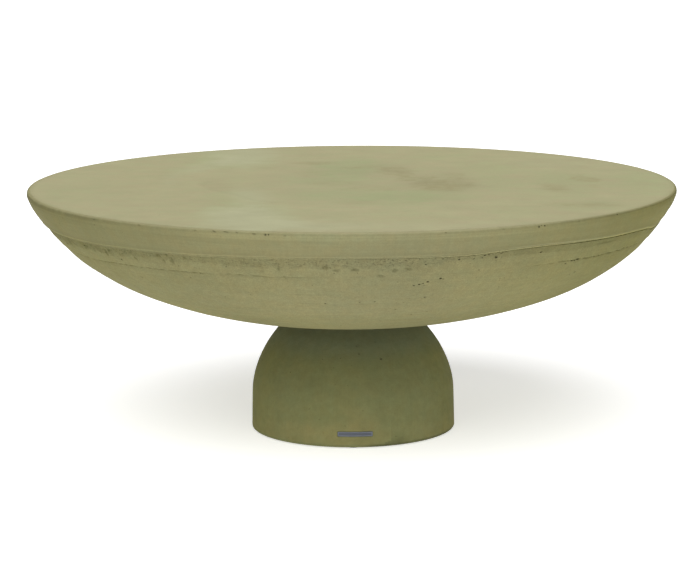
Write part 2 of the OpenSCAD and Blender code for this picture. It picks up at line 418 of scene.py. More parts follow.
# strength of the ragged cold joint lower down
cold = around([(-175, 0.4), (-150, 0.9), (-120, 0.7), (-95, 0.4), (-75, 0.5), (-60, 0.6), (-55, 0.85), (-45, 0.85), (-38, 0.7), (-30, 0.75), (-20, 0.9), (-11, 0.6), (-4, 0.25), (4, 0.2),
               (20, 0.15), (34, 0.45), (42, 1.0), (52, 1.2), (62, 1.05), (75, 0.8), (95, 0.8), (120, 0.9), (145, 0.3)])
cold_z = around([(-175, 312), (-140, 315), (-100, 309), (-70, 308), (-52, 309), (-45, 311.0), (-36, 311.8), (-30, 312.5), (-20, 314.2), (-10, 313.6), (-5, 315),
                 (15, 317), (42, 319), (50, 318), (58, 318.6), (75, 316), (110, 311), (145, 316)])


# painted light and shade round the table: lighter at the front, darker toward the sides
painted_light_round = around([(-170, 0.0), (-130, -0.02), (-100, -0.07), (-75, -0.11), (-60, -0.09), (-45, -0.03), (-30, -0.01), (-15, 0.03), (0, 0.055), (15, 0.03), (30, -0.01),
                (45, -0.06), (60, -0.12), (75, -0.15), (100, -0.07), (130, -0.02)])
# painted sheen in the hue round the table: + is greyer, as at the front, - is more olive, as toward the sides
cast = around([(-170, 0.0), (-130, 0.1), (-100, -0.4), (-75, -0.5), (-60, -0.28), (-45, 0.05), (-30, 0.33), (-15, 0.5), (0, 0.62), (15, 0.5), (30, 0.18),
               (45, -0.25), (60, -0.8), (75, -1.05), (100, -0.4), (130, 0.1)])
# small differences between the slab's batch and the bowl's
slab_batch = around([(-140, 0.0), (-75, 0.0), (-60, -0.01), (-45, 0.0), (-30, 0.015), (-15, 0.005), (0, 0.0), (15, 0.04), (30, 0.03), (45, 0.01), (60, -0.01), (75, 0.0), (110, 0.0)])
bowl_batch = around([(-140, 0.0), (-75, 0.0), (-60, -0.01), (-45, 0.03), (-30, -0.015), (-15, -0.025), (0, -0.02), (15, -0.045), (30, -0.02), (45, 0.0), (60, -0.06), (75, -0.05), (110, 0.0)])
# how much higher up the rounded edge the face's paler skin ends, in degrees
edge_up = around([(-170, 8), (-120, 8), (-80, 4), (-60, 2), (-45, 8), (-30, 8), (-15, 14), (0, 9), (15, 7), (30, 14), (45, 27), (60, 27), (75, 24), (100, 8)])
# tone of the joint's mortar, partly its own colour and partly painted light that lifts the joint's shade, most on the
# right, and how ragged the bowl's margin is under it
joint_tone = around([(-170, 0.1), (-120, 0.1), (-60, 0.0), (-20, 0.04), (0, 0.06), (10, 0.17), (20, 0.30), (30, 0.45), (40, 0.20), (50, 0.68), (60, 0.44), (75, 0.35), (100, 0.1), (140, 0.1)])
worn_at = around([(-170, 0.6), (-120, 0.8), (-80, 0.7), (-60, 0.7), (-45, 0.85), (-25, 0.9), (-10, 1.0), (8, 1.0), (18, 0.8), (30, 0.4), (60, 0.3), (90, 0.5), (130, 0.8)])


def blobs(phi, z, items, r=470.0, warp=None):
    """Soft marks of (phi, z, half width, half height, strength), in mm on the surface."""
    out = np.zeros(np.broadcast(phi, z).shape)
    for p, h, w, t, k in items:
        dx = ((phi - p + 180) % 360 - 180) * (math.pi / 180 * r) / w
        dz = (z - h) / t
        d = np.hypot(dx, dz)
        if warp is not None:
            d = d + warp
        out = out + k * smooth(1.35 - d)
    return out


BLOTCHES = [
    (-48.9, 327.0, 3.5, 7.0, 1.0), (-47.5, 331.5, 6, 2.5, 0.7), (-41.1, 325.5, 4, 5, 0.9), (-39.5, 330.0, 7, 2.2, 0.6),
    (-35.1, 334.5, 6, 3.2, 0.9), (-33.2, 336.0, 3.0, 3.5, 0.7), (-32.6, 328.6, 4.5, 6.0, 1.0), (-34.3, 327.0, 2.5, 4, 0.6),
    (-29.6, 334.5, 4, 2.5, 0.7), (-26.0, 331.0, 5, 2.0, 0.4), (-21.5, 330.0, 6, 2.0, 0.35), (-12.5, 326.7, 3.5, 3.2, 0.8), (-11.7, 313.4, 5.5, 2.6, 0.75),
    (-15.5, 322.0, 4.5, 2.2, 0.4), (-6.8, 328.8, 2.6, 2.4, 0.5), (-4.5, 330.2, 6.0, 3.6, 0.8), (-2.7, 325.8, 6.5, 2.6, 0.8), (0.4, 326.5, 7.5, 3.0, 0.8),
    (2.8, 329.5, 3.5, 2.2, 0.5), (4.8, 316.4, 6.0, 2.6, 0.7), (7.2, 324.4, 5.0, 3.4, 0.8), (9.4, 326.6, 5.5, 3.2, 0.75), (11.2, 330.0, 3, 2.0, 0.4),
    (49.5, 339.3, 34, 1.9, 0.55), (59.5, 341.4, 18, 1.9, 0.40), (24.0, 340.5, 22, 2.2, 0.35), (13.0, 322.0, 3.0, 1.8, 0.3), (-55.0, 330.0, 6.0, 3.0, 0.5), (-62.0, 329.0, 5.0, 3.5, 0.5), (-52.5, 324.0, 4.0, 2.5, 0.4),
]
_rb = np.random.RandomState(5)
for _k in range(46):
    _p = 88 + 184 * _rb.rand()
    BLOTCHES.append(((_p + 180) % 360 - 180, 313 + 22 * _rb.rand() ** 0.7, 2.5 + 5 * _rb.rand(), 2 + 3.5 * _rb.rand(), 0.3 + 0.7 * _rb.rand()))


def bowl_relief(phi, s, s_top, P):
    """Outward relief of the bowl in mm, and its tone, at distance s - s_top under the seam."""
    d = s - s_top
    z = P[..., 2]
    rough = fbm(P / 5.0, 2, 5)
    relief = 0.35 * perlin(P / 165, 1) + 0.2 * fbm(P / 46, 2, 2) + 0.07 * perlin(P / 13, 3) + 0.05 * rough
    # the bowl was set down a little to the right of the slab
    relief = relief + 1.1 * np.sin(np.radians(phi)) * smooth((z - 190) / 60)
    # fuller below the margin
    relief = relief + 1.1 * smooth((312 - z) / 40) * (1 - 0.4 * smooth((250 - z) / 30)) * smooth((z - 184) / 14)
    turn = np.sin(np.radians(phi))
    relief = relief - 0.6 * np.exp(-((z - 266) / 15) ** 2) * (1 - 0.25 * turn)
    relief = relief + 0.5 * np.exp(-((z - 302) / 9) ** 2) * np.clip(turn, 0, 1) + 0.6 * np.exp(-((z - 323) / 6) ** 2) * np.clip(-turn, 0, 1)
    tone = np.zeros_like(d)
    # the margin under the band: set back, with painted shade under the band's overhang
    g, w = setback(phi), setback_w(phi)
    fade = smooth(1.2 - d / w)
    relief -= g * fade * (0.85 + 0.25 * rough)
    m, mw = margin_painted_shade(phi), margin_w(phi)
    ragged = mw * (1 + 0.35 * perlin(P / 16, 6)) + 1.1 * perlin(P / 4.5, 7)
    q = d / np.maximum(ragged, 1.8)
    tone -= m * (1 + 0.25 * rough + 0.2 * perlin(P / 20, 10)) * (0.85 * smooth((1 - q) * 2.2 + 0.5) + 0.25 * smooth(1.2 - q / 2.2))
    # painted light and shade round the table, the bowl's small batch difference, and darker toward the bottom
    tone += painted_light_round(phi) + bowl_batch(phi) + 0.02 - 0.05 * smooth((252 - z) / 34)
    # skin of slurry down to the cold joint
    a = cold(phi)
    edge = s_at(cold_z(phi)) + 1.6 * perlin(P / 17.0, 8) + 0.9 * perlin(P / 4.2, 9)
    inside = smooth((edge - s) / 1.5 + 0.5)
    relief += 0.6 * a * (inside - 1) * (1 - smooth((s - edge - 10) / 18))
    # painted highlight along the skin's ragged lower edge, and painted shade just under it
    lip = np.exp(-((s - edge + 1.2) / 1.1) ** 2)
    under = np.exp(-((s - edge - 1.0) / 1.1) ** 2)
    broken = smooth(0.30 + 1.9 * perlin(P * np.array([1, 1, 0.35]) / 9.5, 12) + 0.48 * a)
    relief += 0.35 * a * lip * broken - 0.75 * a * under * broken
    tone += 0.10 * a * lip * broken - 0.46 * a * under * broken
    below = smooth((s - edge) / 1.5) * smooth(1 - (s - edge) / 15)
    tone -= (0.03 + 0.06 * (phi > 0)) * a * below
    # pockets and smears
    b = np.clip(blobs(phi, z, BLOTCHES, 470, 0.42 * fbm(P / 6.5, 2, 15)), 0, 1.2)
    b = smooth(b * 1.5 - 0.22) * smooth(1.15 + 1.4 * perlin(P / 3.4, 16))
    relief -= 0.65 * b
    tone -= 0.27 * b
    # runs of slurry, faintly lighter
    runs = smooth(perlin(np.stack([phi * 0.45, z / 40, 0 * z], -1), 17) * 1.6 - 0.25) * smooth((edge + 22 - s) / 20)
    tone += 0.05 * runs
    relief += 0.15 * runs
    # faint level rings from filling the mould
    for h, k, f in ((269.3, 0.05, 61), (285.0, 0.03, 62), (249.0, 0.03, 63), (232.0, 0.03, 64)):
        line = np.exp(-((z - h - 1.2 * perlin(P / 60, f)) / 0.9) ** 2) * smooth(perlin(P / 34, f + 5) * 2.0 + 0.1)
        relief -= 0.12 * line
        tone -= k * 2 * line
    worn = worn_at(phi) * np.clip(smooth(1.6 - q) + 0.5 * np.exp(-((s - edge) / 5) ** 2) * a + 0.6 * b, 0, 1)
    return relief, tone, worn


def band_relief(phi, f, r, z, s_len, P):
    """Relief of the rim band; f runs from 0 at the rounded edge to 1 at the seam."""
    relief = 0.25 * perlin(P / 150, 21) + 0.12 * fbm(P / 40, 2, 22) + 0.05 * perlin(P / 11, 23)
    around_mm = phi * (math.pi / 180 * 490)
    Q = np.stack([P[..., 0] / 95, P[..., 1] / 95, z / 2.6], -1)
    streak = fbm(Q, 2, 24)
    relief += 0.10 * streak
    tone = 0.03 * streak
    # bead along the lower edge
    u = (1 - f) * s_len
    bead = np.exp(-((u - 0.75) / 0.95) ** 2)
    h = bead_h(phi) * (0.9 + 0.25 * perlin(P / 14, 25))
    relief += 0.6 * h * bead
    # painted highlight along the bead's top
    tone = tone + bead_painted_highlight(phi) * np.exp(-((u - 0.9) / 1.15) ** 2) * (1 + 0.3 * perlin(P / 9, 26))
    relief -= 0.15 * smooth(1 - u / 0.4)
    # the slab sits a little to the left of the bowl
    relief -= 0.45 * (1 + np.sin(np.radians(phi))) * (1 - 0.40 * np.exp(-((z - 361) / 8.5) ** 2) - 0.85 * smooth((356 - z) / 10))
    # painted light and shade just under the lip, lighter at the front and darker at the sides, and the step where the
    # former's edge was, with painted shade in and below its groove
    v = f * s_len
    step = band_step(phi)
    line = v - 5.4 - 0.9 * perlin(P / 60, 27)
    tone = tone - 0.02 * step * smooth(line / 1.4 + 0.5) - 0.065 * step * np.exp(-(line / 1.3) ** 2)
    relief = relief - 0.16 * step * smooth(line / 1.2 + 0.5)
    # painted light and shade under the lip and round the table, with the slab's small batch difference
    tone = tone + 1.15 * lip_painted_light_and_shade(phi) * np.exp(-(v / 4.4) ** 2) + painted_light_round(phi) + slab_batch(phi) + 0.01
    side_ = (phi + 180) % 360 - 180
    # painted shade on the band's far left side, below the lip
    tone = tone - 0.06 * np.exp(-((side_ + 64) / 9) ** 2) * smooth((374 - z) / 8)
    # faint shade just above the bead
    tone = tone - 0.035 * np.exp(-((u - 4.6) / 2.0) ** 2) - 0.03 * smooth((14 - u) / 8)
    return relief, tone


# ---------------------------------------------------------------- tabletop slab
RN = 1536


def powers(n):
    out = [n]
    while out[-1] % 2 == 0 and out[-1] > 12:
        out.append(out[-1] // 2)
    return out


def ring_count(r, spacing, most=RN):
    """Largest ring count of the halving series that keeps columns at least spacing apart."""
    for n in powers(most):
        if 2 * math.pi * r / n >= spacing * 0.72:
            return n
    return powers(most)[-1]


# patches on the trowelled face: x, y, half width, half depth, turn in degrees, strength
GREEN = [
    (-205, 300, 60, 110, 8, 0.9), (-10, 190, 50, 125, -6, 1.0), (-40, 40, 60, 60, 0, 0.5), (0, -120, 90, 60, 0, 0.8), (70, -185, 64, 60, -20, 0.7),
    (-150, -330, 66, 110, 4, 0.75), (-170, -180, 45, 90, 6, 0.5), (225, 180, 42, 90, 0, 0.55), (235, 0, 36, 80, 0, 0.45), (330, 40, 50, 90, 10, 0.65),
    (452, 10, 44, 130, 0, 0.75), (310, -120, 50, 60, 0, 0.4), (130, -130, 52, 60, 20, 0.6), (-420, -60, 40, 100, 0, 0.2), (350, -250, 60, 40, 10, 0.5),
    (150, 330, 50, 50, 0, 0.35), (-272, 168, 26, 40, 0, 0.45), (60, -330, 60, 60, 0, 0.2), (240, -300, 40, 60, 10, 0.3),
]
# painted sheen: the pale, bluish band of a reflection on the face, in the same columns
PAINTED_SHEEN = [
    (-182, 375, 52, 120, 4, 0.85), (-240, 215, 24, 90, -18, 0.5), (-284, 70, 14, 90, 0, 0.3), (-180, 250, 30, 70, 0, 0.3), (-150, -140, 26, 90, 8, 0.65),
    (-150, -350, 54, 105, 4, 1.1), (-105, -440, 70, 40, 0, 0.55), (60, -440, 120, 34, 0, 0.25), (-60, -420, 60, 50, 0, 0.3), (330, 230, 60, 60, 0, 0.15),
]
SHADE = [
    (30, -5, 195, 200, 0, 0.55), (10, 190, 85, 95, -10, 0.55), (135, -10, 60, 95, -10, 0.5), (60, -175, 110, 52, -8, 0.35), (-60, 250, 44, 32, 0, 0.4),
    (-205, -30, 28, 90, 10, 0.25), (345, -10, 62, 110, 0, 0.4), (345, -242, 54, 42, 10, 0.45), (-420, -80, 60, 120, 0, 0.25), (-330, -190, 40, 50, 0, 0.2),
]
TAN = [
    (70, 146, 24, 56, 10, 0.85), (30, 208, 26, 18, 0, 0.4), (98, 62, 26, 34, -20, 0.6), (138, -14, 44, 72, -10, 0.7), (122, 22, 24, 28, 0, 0.45), (142, -46, 28, 40, 0, 0.5),
    (182, -30, 10, 22, 0, 0.5), (-60, 255, 32, 20, 0, 0.6), (0, 190, 18, 14, 0, 0.35), (366, 38, 18, 34, 8, 0.9), (354, 88, 12, 18, 0, 0.4), (308, -62, 18, 48, 4, 0.75),
    (370, -40, 10, 18, 0, 0.5), (348, -246, 38, 24, 8, 0.6), (302, -232, 26, 16, 0, 0.35), (-25, 0, 36, 36, 0, 0.25), (-212, -10, 24, 66, 6, 0.12), (30, -62, 46, 26, 0, 0.3),
    (162, 92, 18, 26, 0, 0.4), (-62, 120, 26, 40, 0, 0.3), (10, -210, 34, 20, 0, 0.3), (-330, 60, 60, 160, 0, 0.12),
]


def patches(x, y, items, warp, edge=1.5):
    out = np.zeros_like(x)
    for cx, cy, a, b, turn, k in items:
        c, s = math.cos(math.radians(turn)), math.sin(math.radians(turn))
        u, v = ((x - cx) * c + (y - cy) * s) / a, (-(x - cx) * s + (y - cy) * c) / b
        out += k * smooth((1.0 - np.hypot(u, v) + 0.55 * warp) / edge + 0.5)
    return np.clip(out, 0, 1.15)


def swoosh(x, y, pts, width):
    """Distance mask to a polyline."""
    best = np.full_like(x, 1e9)
    for (x0, y0), (x1, y1) in zip(pts[:-1], pts[1:]):
        dx, dy = x1 - x0, y1 - y0
        t = np.clip(((x - x0) * dx + (y - y0) * dy) / (dx * dx + dy * dy), 0, 1)
        best = np.minimum(best, np.hypot(x - x0 - t * dx, y - y0 - t * dy))
    return np.exp(-(best / width) ** 2)


TROWEL = [
    ([(-228, 30), (-224, -26), (-198, -73), (-172, -129), (-146, -174), (-121, -206)], 8, -0.8),
    ([(-246, 0), (-218, -60), (-190, -118), (-162, -166), (-132, -206)], 6, 0.5),
    ([(30, 190), (70, 150), (100, 70), (130, 0)], 12, -0.35), ([(60, -12), (110, -4), (170, -18), (220, -50)], 8, -0.4),
    ([(40, -200), (90, -190), (140, -200)], 8, 0.35), ([(250, -60), (300, -70), (350, -55)], 8, -0.35), ([(-60, 60), (-20, 20), (40, 10)], 9, -0.3),
    ([(-340, 120), (-300, 160), (-250, 180)], 8, 0.3), ([(300, 180), (340, 140), (370, 80)], 9, 0.3), ([(-100, -250), (-40, -270), (40, -262)], 9, 0.35),
    ([(170, 60), (180, -20), (165, -100), (130, -170), (70, -215)], 12, -0.35),
]


def top_paint(x, y):
    """Masks of the trowelled face: green and tan patches, a pale painted sheen of a reflection, light and darker marks.
    """
    P = np.stack([x, y, 0 * x], -1)
    w1, w2 = fbm(P / 60, 3, 31), fbm(P / 26, 3, 32)
    w = w1 + 0.6 * w2
    green = patches(x, y, GREEN, w, 1.1) * (0.85 + 0.5 * w2)
    tan = patches(x, y, TAN, 0.7 * w2 + 0.9 * fbm(P / 14, 2, 33), 0.9) * (0.9 + 0.8 * fbm(P / 9, 2, 38))
    bloom = patches(x, y, PAINTED_SHEEN, 0.6 * w, 1.5)
    shade = patches(x, y, SHADE, w, 0.7)
    tr = np.zeros_like(x)
    wx, wy = x + 9 * perlin(P / 35, 34), y + 9 * perlin(P / 35, 35)
    for pts, width, k in TROWEL:
        tr += k * swoosh(wx, wy, pts, width)
    # the painted sheen also lightens the face's tone
    tr = tr - 1.35 * shade + 1.5 * bloom + 0.9 * w1 + 0.6 * w2
    return {"green": np.clip(green + 0.3 * np.clip(fbm(P / 80, 3, 39), 0, 1), 0, 1.1), "tan": np.clip(tan, 0, 1.1), "bloom": bloom, "trowel": tr}


def tabletop():
    s = Skin()
    # top face
    s.ring(1, 0, TABLE_H - 0.12, **{k: float(v[0]) for k, v in top_paint(np.array([0.0]), np.array([0.0])).items()})
    r = 5.0
    radii = []
    while r < 487:
        radii.append(r)
        n = ring_count(r, 5.2, 768)
        r += 2 * math.pi * r / n if r > 20 else 5
    last = radii[-1]
    radii += list(np.linspace(last, 493.0, 4)[1:])
    prev = 12
    for r in radii:
        n = ring_count(r, 5.2, 768)
        n = min(max(n, prev), prev * 2)
        prev = n
        phi = np.arange(n) * 360.0 / n
        P = xyz(phi, r, TABLE_H)
        paint = top_paint(P[:, 0], P[:, 1])
        z = TABLE_H + np.clip(-0.13 + 0.1 * perlin(P / 170, 36) + 0.03 * perlin(P / 30, 37) + 0.02 * paint["trowel"], -0.5, 0)
        s.ring(n, r, z, side=0.12 * smooth((r - 485) / 9), **paint)
    # rounded edge, at full count from here
    phi = np.arange(RN) * 360.0 / RN
    side_ = (phi + 180) % 360 - 180
    right = smooth((side_ - 15) / 25) * smooth((115 - side_) / 25)
    moss = np.exp(-((side_ + 4) / 8) ** 2)
    s_b = s_at(seam_height(phi) - 0.9)
    for t in (90, 84, 76, 68, 60, 53, 47, 41, 35, 29, 22, 14, 6, -3, -12, -LEAN):
        c, q = math.cos(math.radians(t)), math.sin(math.radians(t))
        # squarer than a circle: the lip's radius is about 3 mm
        e = 2 / 3.1 if t > 0 else 1.0
        cc, qq = abs(c) ** e, math.copysign(abs(q) ** e, q)
        r0, z0 = EDGE_CR + EDGE_R * cc, EDGE_CZ + EDGE_R * qq
        P = xyz(phi, r0, z0)
        amt = smooth((90 - t) / 30)
        d = -0.24 * amt - 0.1 * (1 - amt) + amt * (0.14 * perlin(P / 60, 41) + 0.10 * perlin(P / 13, 42) + 0.06 * perlin(P / 4, 43))
        wear = smooth(fbm(P / 9, 2, 44) * 2.2 - 0.75) * math.exp(-((t - 38) / 34) ** 2)
        d = np.minimum(d - 0.5 * wear, -0.02)
        d = d - 0.45 * (1 + np.sin(np.radians(phi))) * smooth((90 - t) / 60)
        paint = top_paint(P[:, 0], P[:, 1])
        turn = t + 6 * perlin(P / 11, 45) + 5 * perlin(P / 4, 46) - edge_up(phi) * (1 - smooth((t - 76) / 14))
        f = np.interp(turn, [-5, 10, 22, 35, 47, 60, 76, 84, 92], [0.0, 0.04, 0.12, 0.24, 0.33, 0.40, 0.52, 0.68, 0.88])
        mid = 27 + 20 * right
        # painted shade line under the lip, painted light and shade on the rounded edge (glow), and painted light round
        # the table on its side part
        line = lip_painted_shade(phi) * np.exp(-((t - mid) / np.where(t > mid, 25, 25 - 5 * right)) ** 2) * (1 + 0.3 * perlin(P / 12, 47))
        glow = 1.15 * lip_painted_light_and_shade(phi) * math.exp(-((t + 8) / 17) ** 2)
        s.ring(RN, r0 + d * c, z0 + d * q, **{k: v * f for k, v in paint.items()}, side=1 - f, cool=cast(phi), moss=moss * smooth((70 - t) / 40), tone=glow - line - 0.05 * wear + painted_light_round(phi) * (1 - f))
    # band
    L = s_b
    rows = [k * 1.42 for k in range(1, 22)]
    s_max = float(L.min()) - 3.4
    S = []
    for x in rows:
        if x < s_max:
            S.append(x / s_max)
    base = [(f, 0) for f in S]
    tail = [3.0, 2.3, 1.75, 1.3, 0.9, 0.5, 0.2, 0.0]
    all_s = [f * (L - 3.4) for f, _ in base] + [L - t for t in tail]
    for sv in all_s:
        r0, z0, nr, nz = on_outline(sv)
        P = xyz(phi, r0, z0)
        d, tone = band_relief(phi, sv / L, r0, z0, L, P)
        d = d - 0.12
        # paler, greyer hue along the bead on the right: the colour of its painted highlight
        pale = 0.6 * right * np.exp(-(((L - sv) - 0.9) / 1.3) ** 2)
        s.ring(RN, np.minimum(r0 + d * nr, 499.6), z0 + d * nz, side=1.0, cool=cast(phi) + pale, moss=moss * np.exp(-(sv / 9) ** 2), tone=tone)
    # under the band, across the joint, to the skirt
    w = seam_height(phi) - 0.9 - SEAM_Z
    r_b = on_outline(L)[0]
    # painted shade: darker going in under the band and into the joint
    for back in (1.0, 3.5, 8.0):
        s.ring(RN, r_b - back, SEAM_Z + w, side=1.0, cool=cast(phi), tone=-0.02 - 0.08 * back + 0.0 * phi)
    s.ring(768, 466.0, SEAM_Z + 0.5 * w[::2], side=1.0, tone=-0.35)
    s.ring(384, 461.0, SEAM_Z, side=1.0)
    s.ring(384, SKIRT_R, SEAM_Z, side=1.0)
    s.ring(384, SKIRT_R, SEAM_Z + 6, side=1.0)
    s.ring(384, SKIRT_R - 8, SEAM_Z + 14, side=1.0)
    for n, r in ((192, 400), (96, 260), (48, 130), (24, 50)):
        s.ring(n, r, SEAM_Z + 14, side=1.0)
    s.ring(1, 0, SEAM_Z + 14, side=1.0)
    return s.mesh("tabletop", 50)


# ---------------------------------------------------------------- bowl
def bowl():
    s = Skin()
    in_a, in_b = BOWL_A - SHELL_T, BOWL_B - SHELL_T
    s.ring(1, 0, BOSS_TOP)
    for n, r, z in ((24, 40, BOSS_TOP), (48, 80, BOSS_TOP), (96, BOSS_R - 4, BOSS_TOP), (96, BOSS_R, BOSS_TOP - 4)):
        s.ring(n, r, z)
    z_in = BOWL_CZ - in_b * (1 - (127 / in_a) ** BOWL_N) ** (1 / BOWL_N)
    t0 = math.asin(((BOWL_CZ - z_in) / in_b) ** (BOWL_N / 2))
    t1 = math.asin(((BOWL_CZ - (SEAM_Z - SEAM_T)) / in_b) ** (BOWL_N / 2))
    m = 34
    for i, t in enumerate(np.linspace(t0, t1, m)):
        n = 192 if i < 22 else 384
        s.ring(n, in_a * math.cos(t) ** (2 / BOWL_N), BOWL_CZ - in_b * math.sin(t) ** (2 / BOWL_N))
    phi = np.arange(RN) * 360.0 / RN
    zt = seam_height(phi) - 0.9 - SEAM_T
    w = zt - (SEAM_Z - SEAM_T)
    s_t = s_at(zt)
    r_t = on_outline(s_t)[0]
    s.ring(384, 461.0, SEAM_Z - SEAM_T)
    s.ring(768, 466.0, SEAM_Z - SEAM_T + 0.5 * w[::2])
    # painted shade on the bowl's top inside the joint, darker further in
    s.ring(RN, r_t - 9.0, zt, tone=-0.35)
    s.ring(RN, r_t - 4.0, zt, tone=-0.25)
    s.ring(RN, r_t - 1.8 - setback(phi), zt - 0.02, cool=cast(phi), tone=-0.08)

    def rows(svals, n, at_phi, stop):
        S = np.stack(svals)
        r0, z0, nr, nz = on_outline(S)
        P = xyz(at_phi[None, :], r0, z0)
        d, tone, worn = bowl_relief(at_phi[None, :] + 0 * S, S, stop[None, :], P)
        # hue: the painted sheen round the table, more olive low down and where the tone is darker
        cool = cast(at_phi)[None, :] - 0.12 - 0.3 * smooth((262 - z0) / 40) + 1.4 * np.clip(tone + 0.05, -0.4, 0)
        for j in range(len(S)):
            s.ring(n, r0[j] + d[j] * nr[j], z0[j] + d[j] * nz[j], cool=cool[j], tone=tone[j], worn=worn[j])

    # the margin with the joint's details, 1.6 mm rows
    s_end = float(s_at(303.0))
    offs = [0.25, 0.9, 1.9] + list(np.arange(3.2, 60, 1.62))
    span = s_end - s_t
    k = np.array(offs) / offs[-1]
    rows([s_t + offs[0], s_t + offs[1]] + [s_t + 1.9 + (span - 1.9) * (o - 1.9) / (offs[-1] - 1.9) for o in offs[2:]], RN, phi, s_t)
    # the rest of the bowl, wider apart
    s_last = float(s_at(LANDING_Z + 0.6))
    n, sv = 768, s_end
    ph = phi[::2]
    st = s_t[::2]
    blocks, cur = [], []
    while True:
        r = float(np.interp(sv, O_S, O_R))
        want = 768 if r > 330 else (384 if r > 190 else 192)
        step = {768: 3.9, 384: 4.8, 192: 5.6}[want]
        if want != n and cur:
            blocks.append((n, cur))
            n, cur = want, []
        sv += step
        if sv > s_last - 2:
            break
        cur.append(sv)
    blocks.append((n, cur))
    for n, lst in blocks:
        f = RN // n
        rows([np.full(n, x) for x in lst], n, phi[::f], s_t[::f])
    r_l = float(np.interp(s_last, O_S, O_R))
    s.ring(192, r_l, LANDING_Z + 0.35)
    s.ring(192, r_l - 2.2, LANDING_Z)
    for n, r in ((96, 90), (48, 55), (24, 26)):
        s.ring(n, r, LANDING_Z)
    s.ring(1, 0, LANDING_Z)
    return s.mesh("bowl", 45)


# ---------------------------------------------------------------- mortar in the joint
def mortar():
    s = Skin()
    n = RN
    phi = np.arange(n) * 360.0 / n
    zt = seam_height(phi) - 0.9
    w = zt - SEAM_Z
    r_b = on_outline(s_at(zt))[0]
    P = xyz(phi, r_b, zt)
    sm = np.clip(smear(phi) + 0.35 * perlin(P / 26, 51) + 0.2 * perlin(P / 8, 52), 0, 1)
    rec = 0.28 - 0.06 * sm + 0.08 * perlin(P / 3, 53) + 0.10 * perlin(P / 9, 54)
    rec = np.maximum(rec, setback(phi) * 0.8 + 0.04)
    # struck nearly flush on the right, where the band stands out over it
    side_ = (phi + 180) % 360 - 180
    rec = rec - 0.32 * smooth((side_ - 4) / 18) * smooth((115 - side_) / 30)
    s.ring(384, SKIRT_R + 3, SEAM_Z)
    s.ring(768, 466.0, SEAM_Z + 0.5 * w[::2])
    s.ring(n, r_b - 8, zt)
    # the mortar's tone: its own colour, with painted light round the table and painted light lifting the joint's shade
    tone = 0.12 - 0.10 * sm + 0.12 * perlin(P / 11, 55) + painted_light_round(phi) + joint_tone(phi)
    for u, e in ((0.0, 0.35), (0.35, 0.05), (1.0, 0.0), (1.65, 0.05), (2.0, 0.4)):
        s.ring(n, r_b - rec - e - 0.78 * u, zt - u, cool=cast(phi), tone=tone)
    s.ring(n, r_b - 8.0, zt - SEAM_T)
    s.ring(768, 466.0, SEAM_Z - SEAM_T + 0.5 * w[::2])
    s.ring(384, SKIRT_R + 3, SEAM_Z - SEAM_T)
    s.close()
    return s.mesh("seam_joint", 50)


# ---------------------------------------------------------------- pedestal
def wall_at(z):
    return FOOT_R + (WALL_R - FOOT_R) * (z - FOOT_Z) / (WALL_Z - FOOT_Z)


def pedestal_outline():
    pts = [(FOOT_R - 3.2, FOOT_Z), (FOOT_R - 1.4, FOOT_Z + 0.3), (FOOT_R - 0.4, FOOT_Z + 1.3)]
    for z in np.linspace(FOOT_Z + 3.0, WALL_Z, 40):
        pts.append((wall_at(z), z))
    t1 = math.asin(((SEAT_Z - WALL_Z) / DOME_B) ** (DOME_N / 2))
    t0 = math.asin((3.0 / DOME_B) ** (DOME_N / 2))
    for t in np.linspace(t0, t1, 300):
        pts.append((WALL_R * math.cos(t) ** (2 / DOME_N), WALL_Z + DOME_B * math.sin(t) ** (2 / DOME_N)))
    p = np.array(pts)[::-1]
    s = np.concatenate([[0], np.cumsum(np.hypot(*np.diff(p, axis=0).T))])
    return p, s


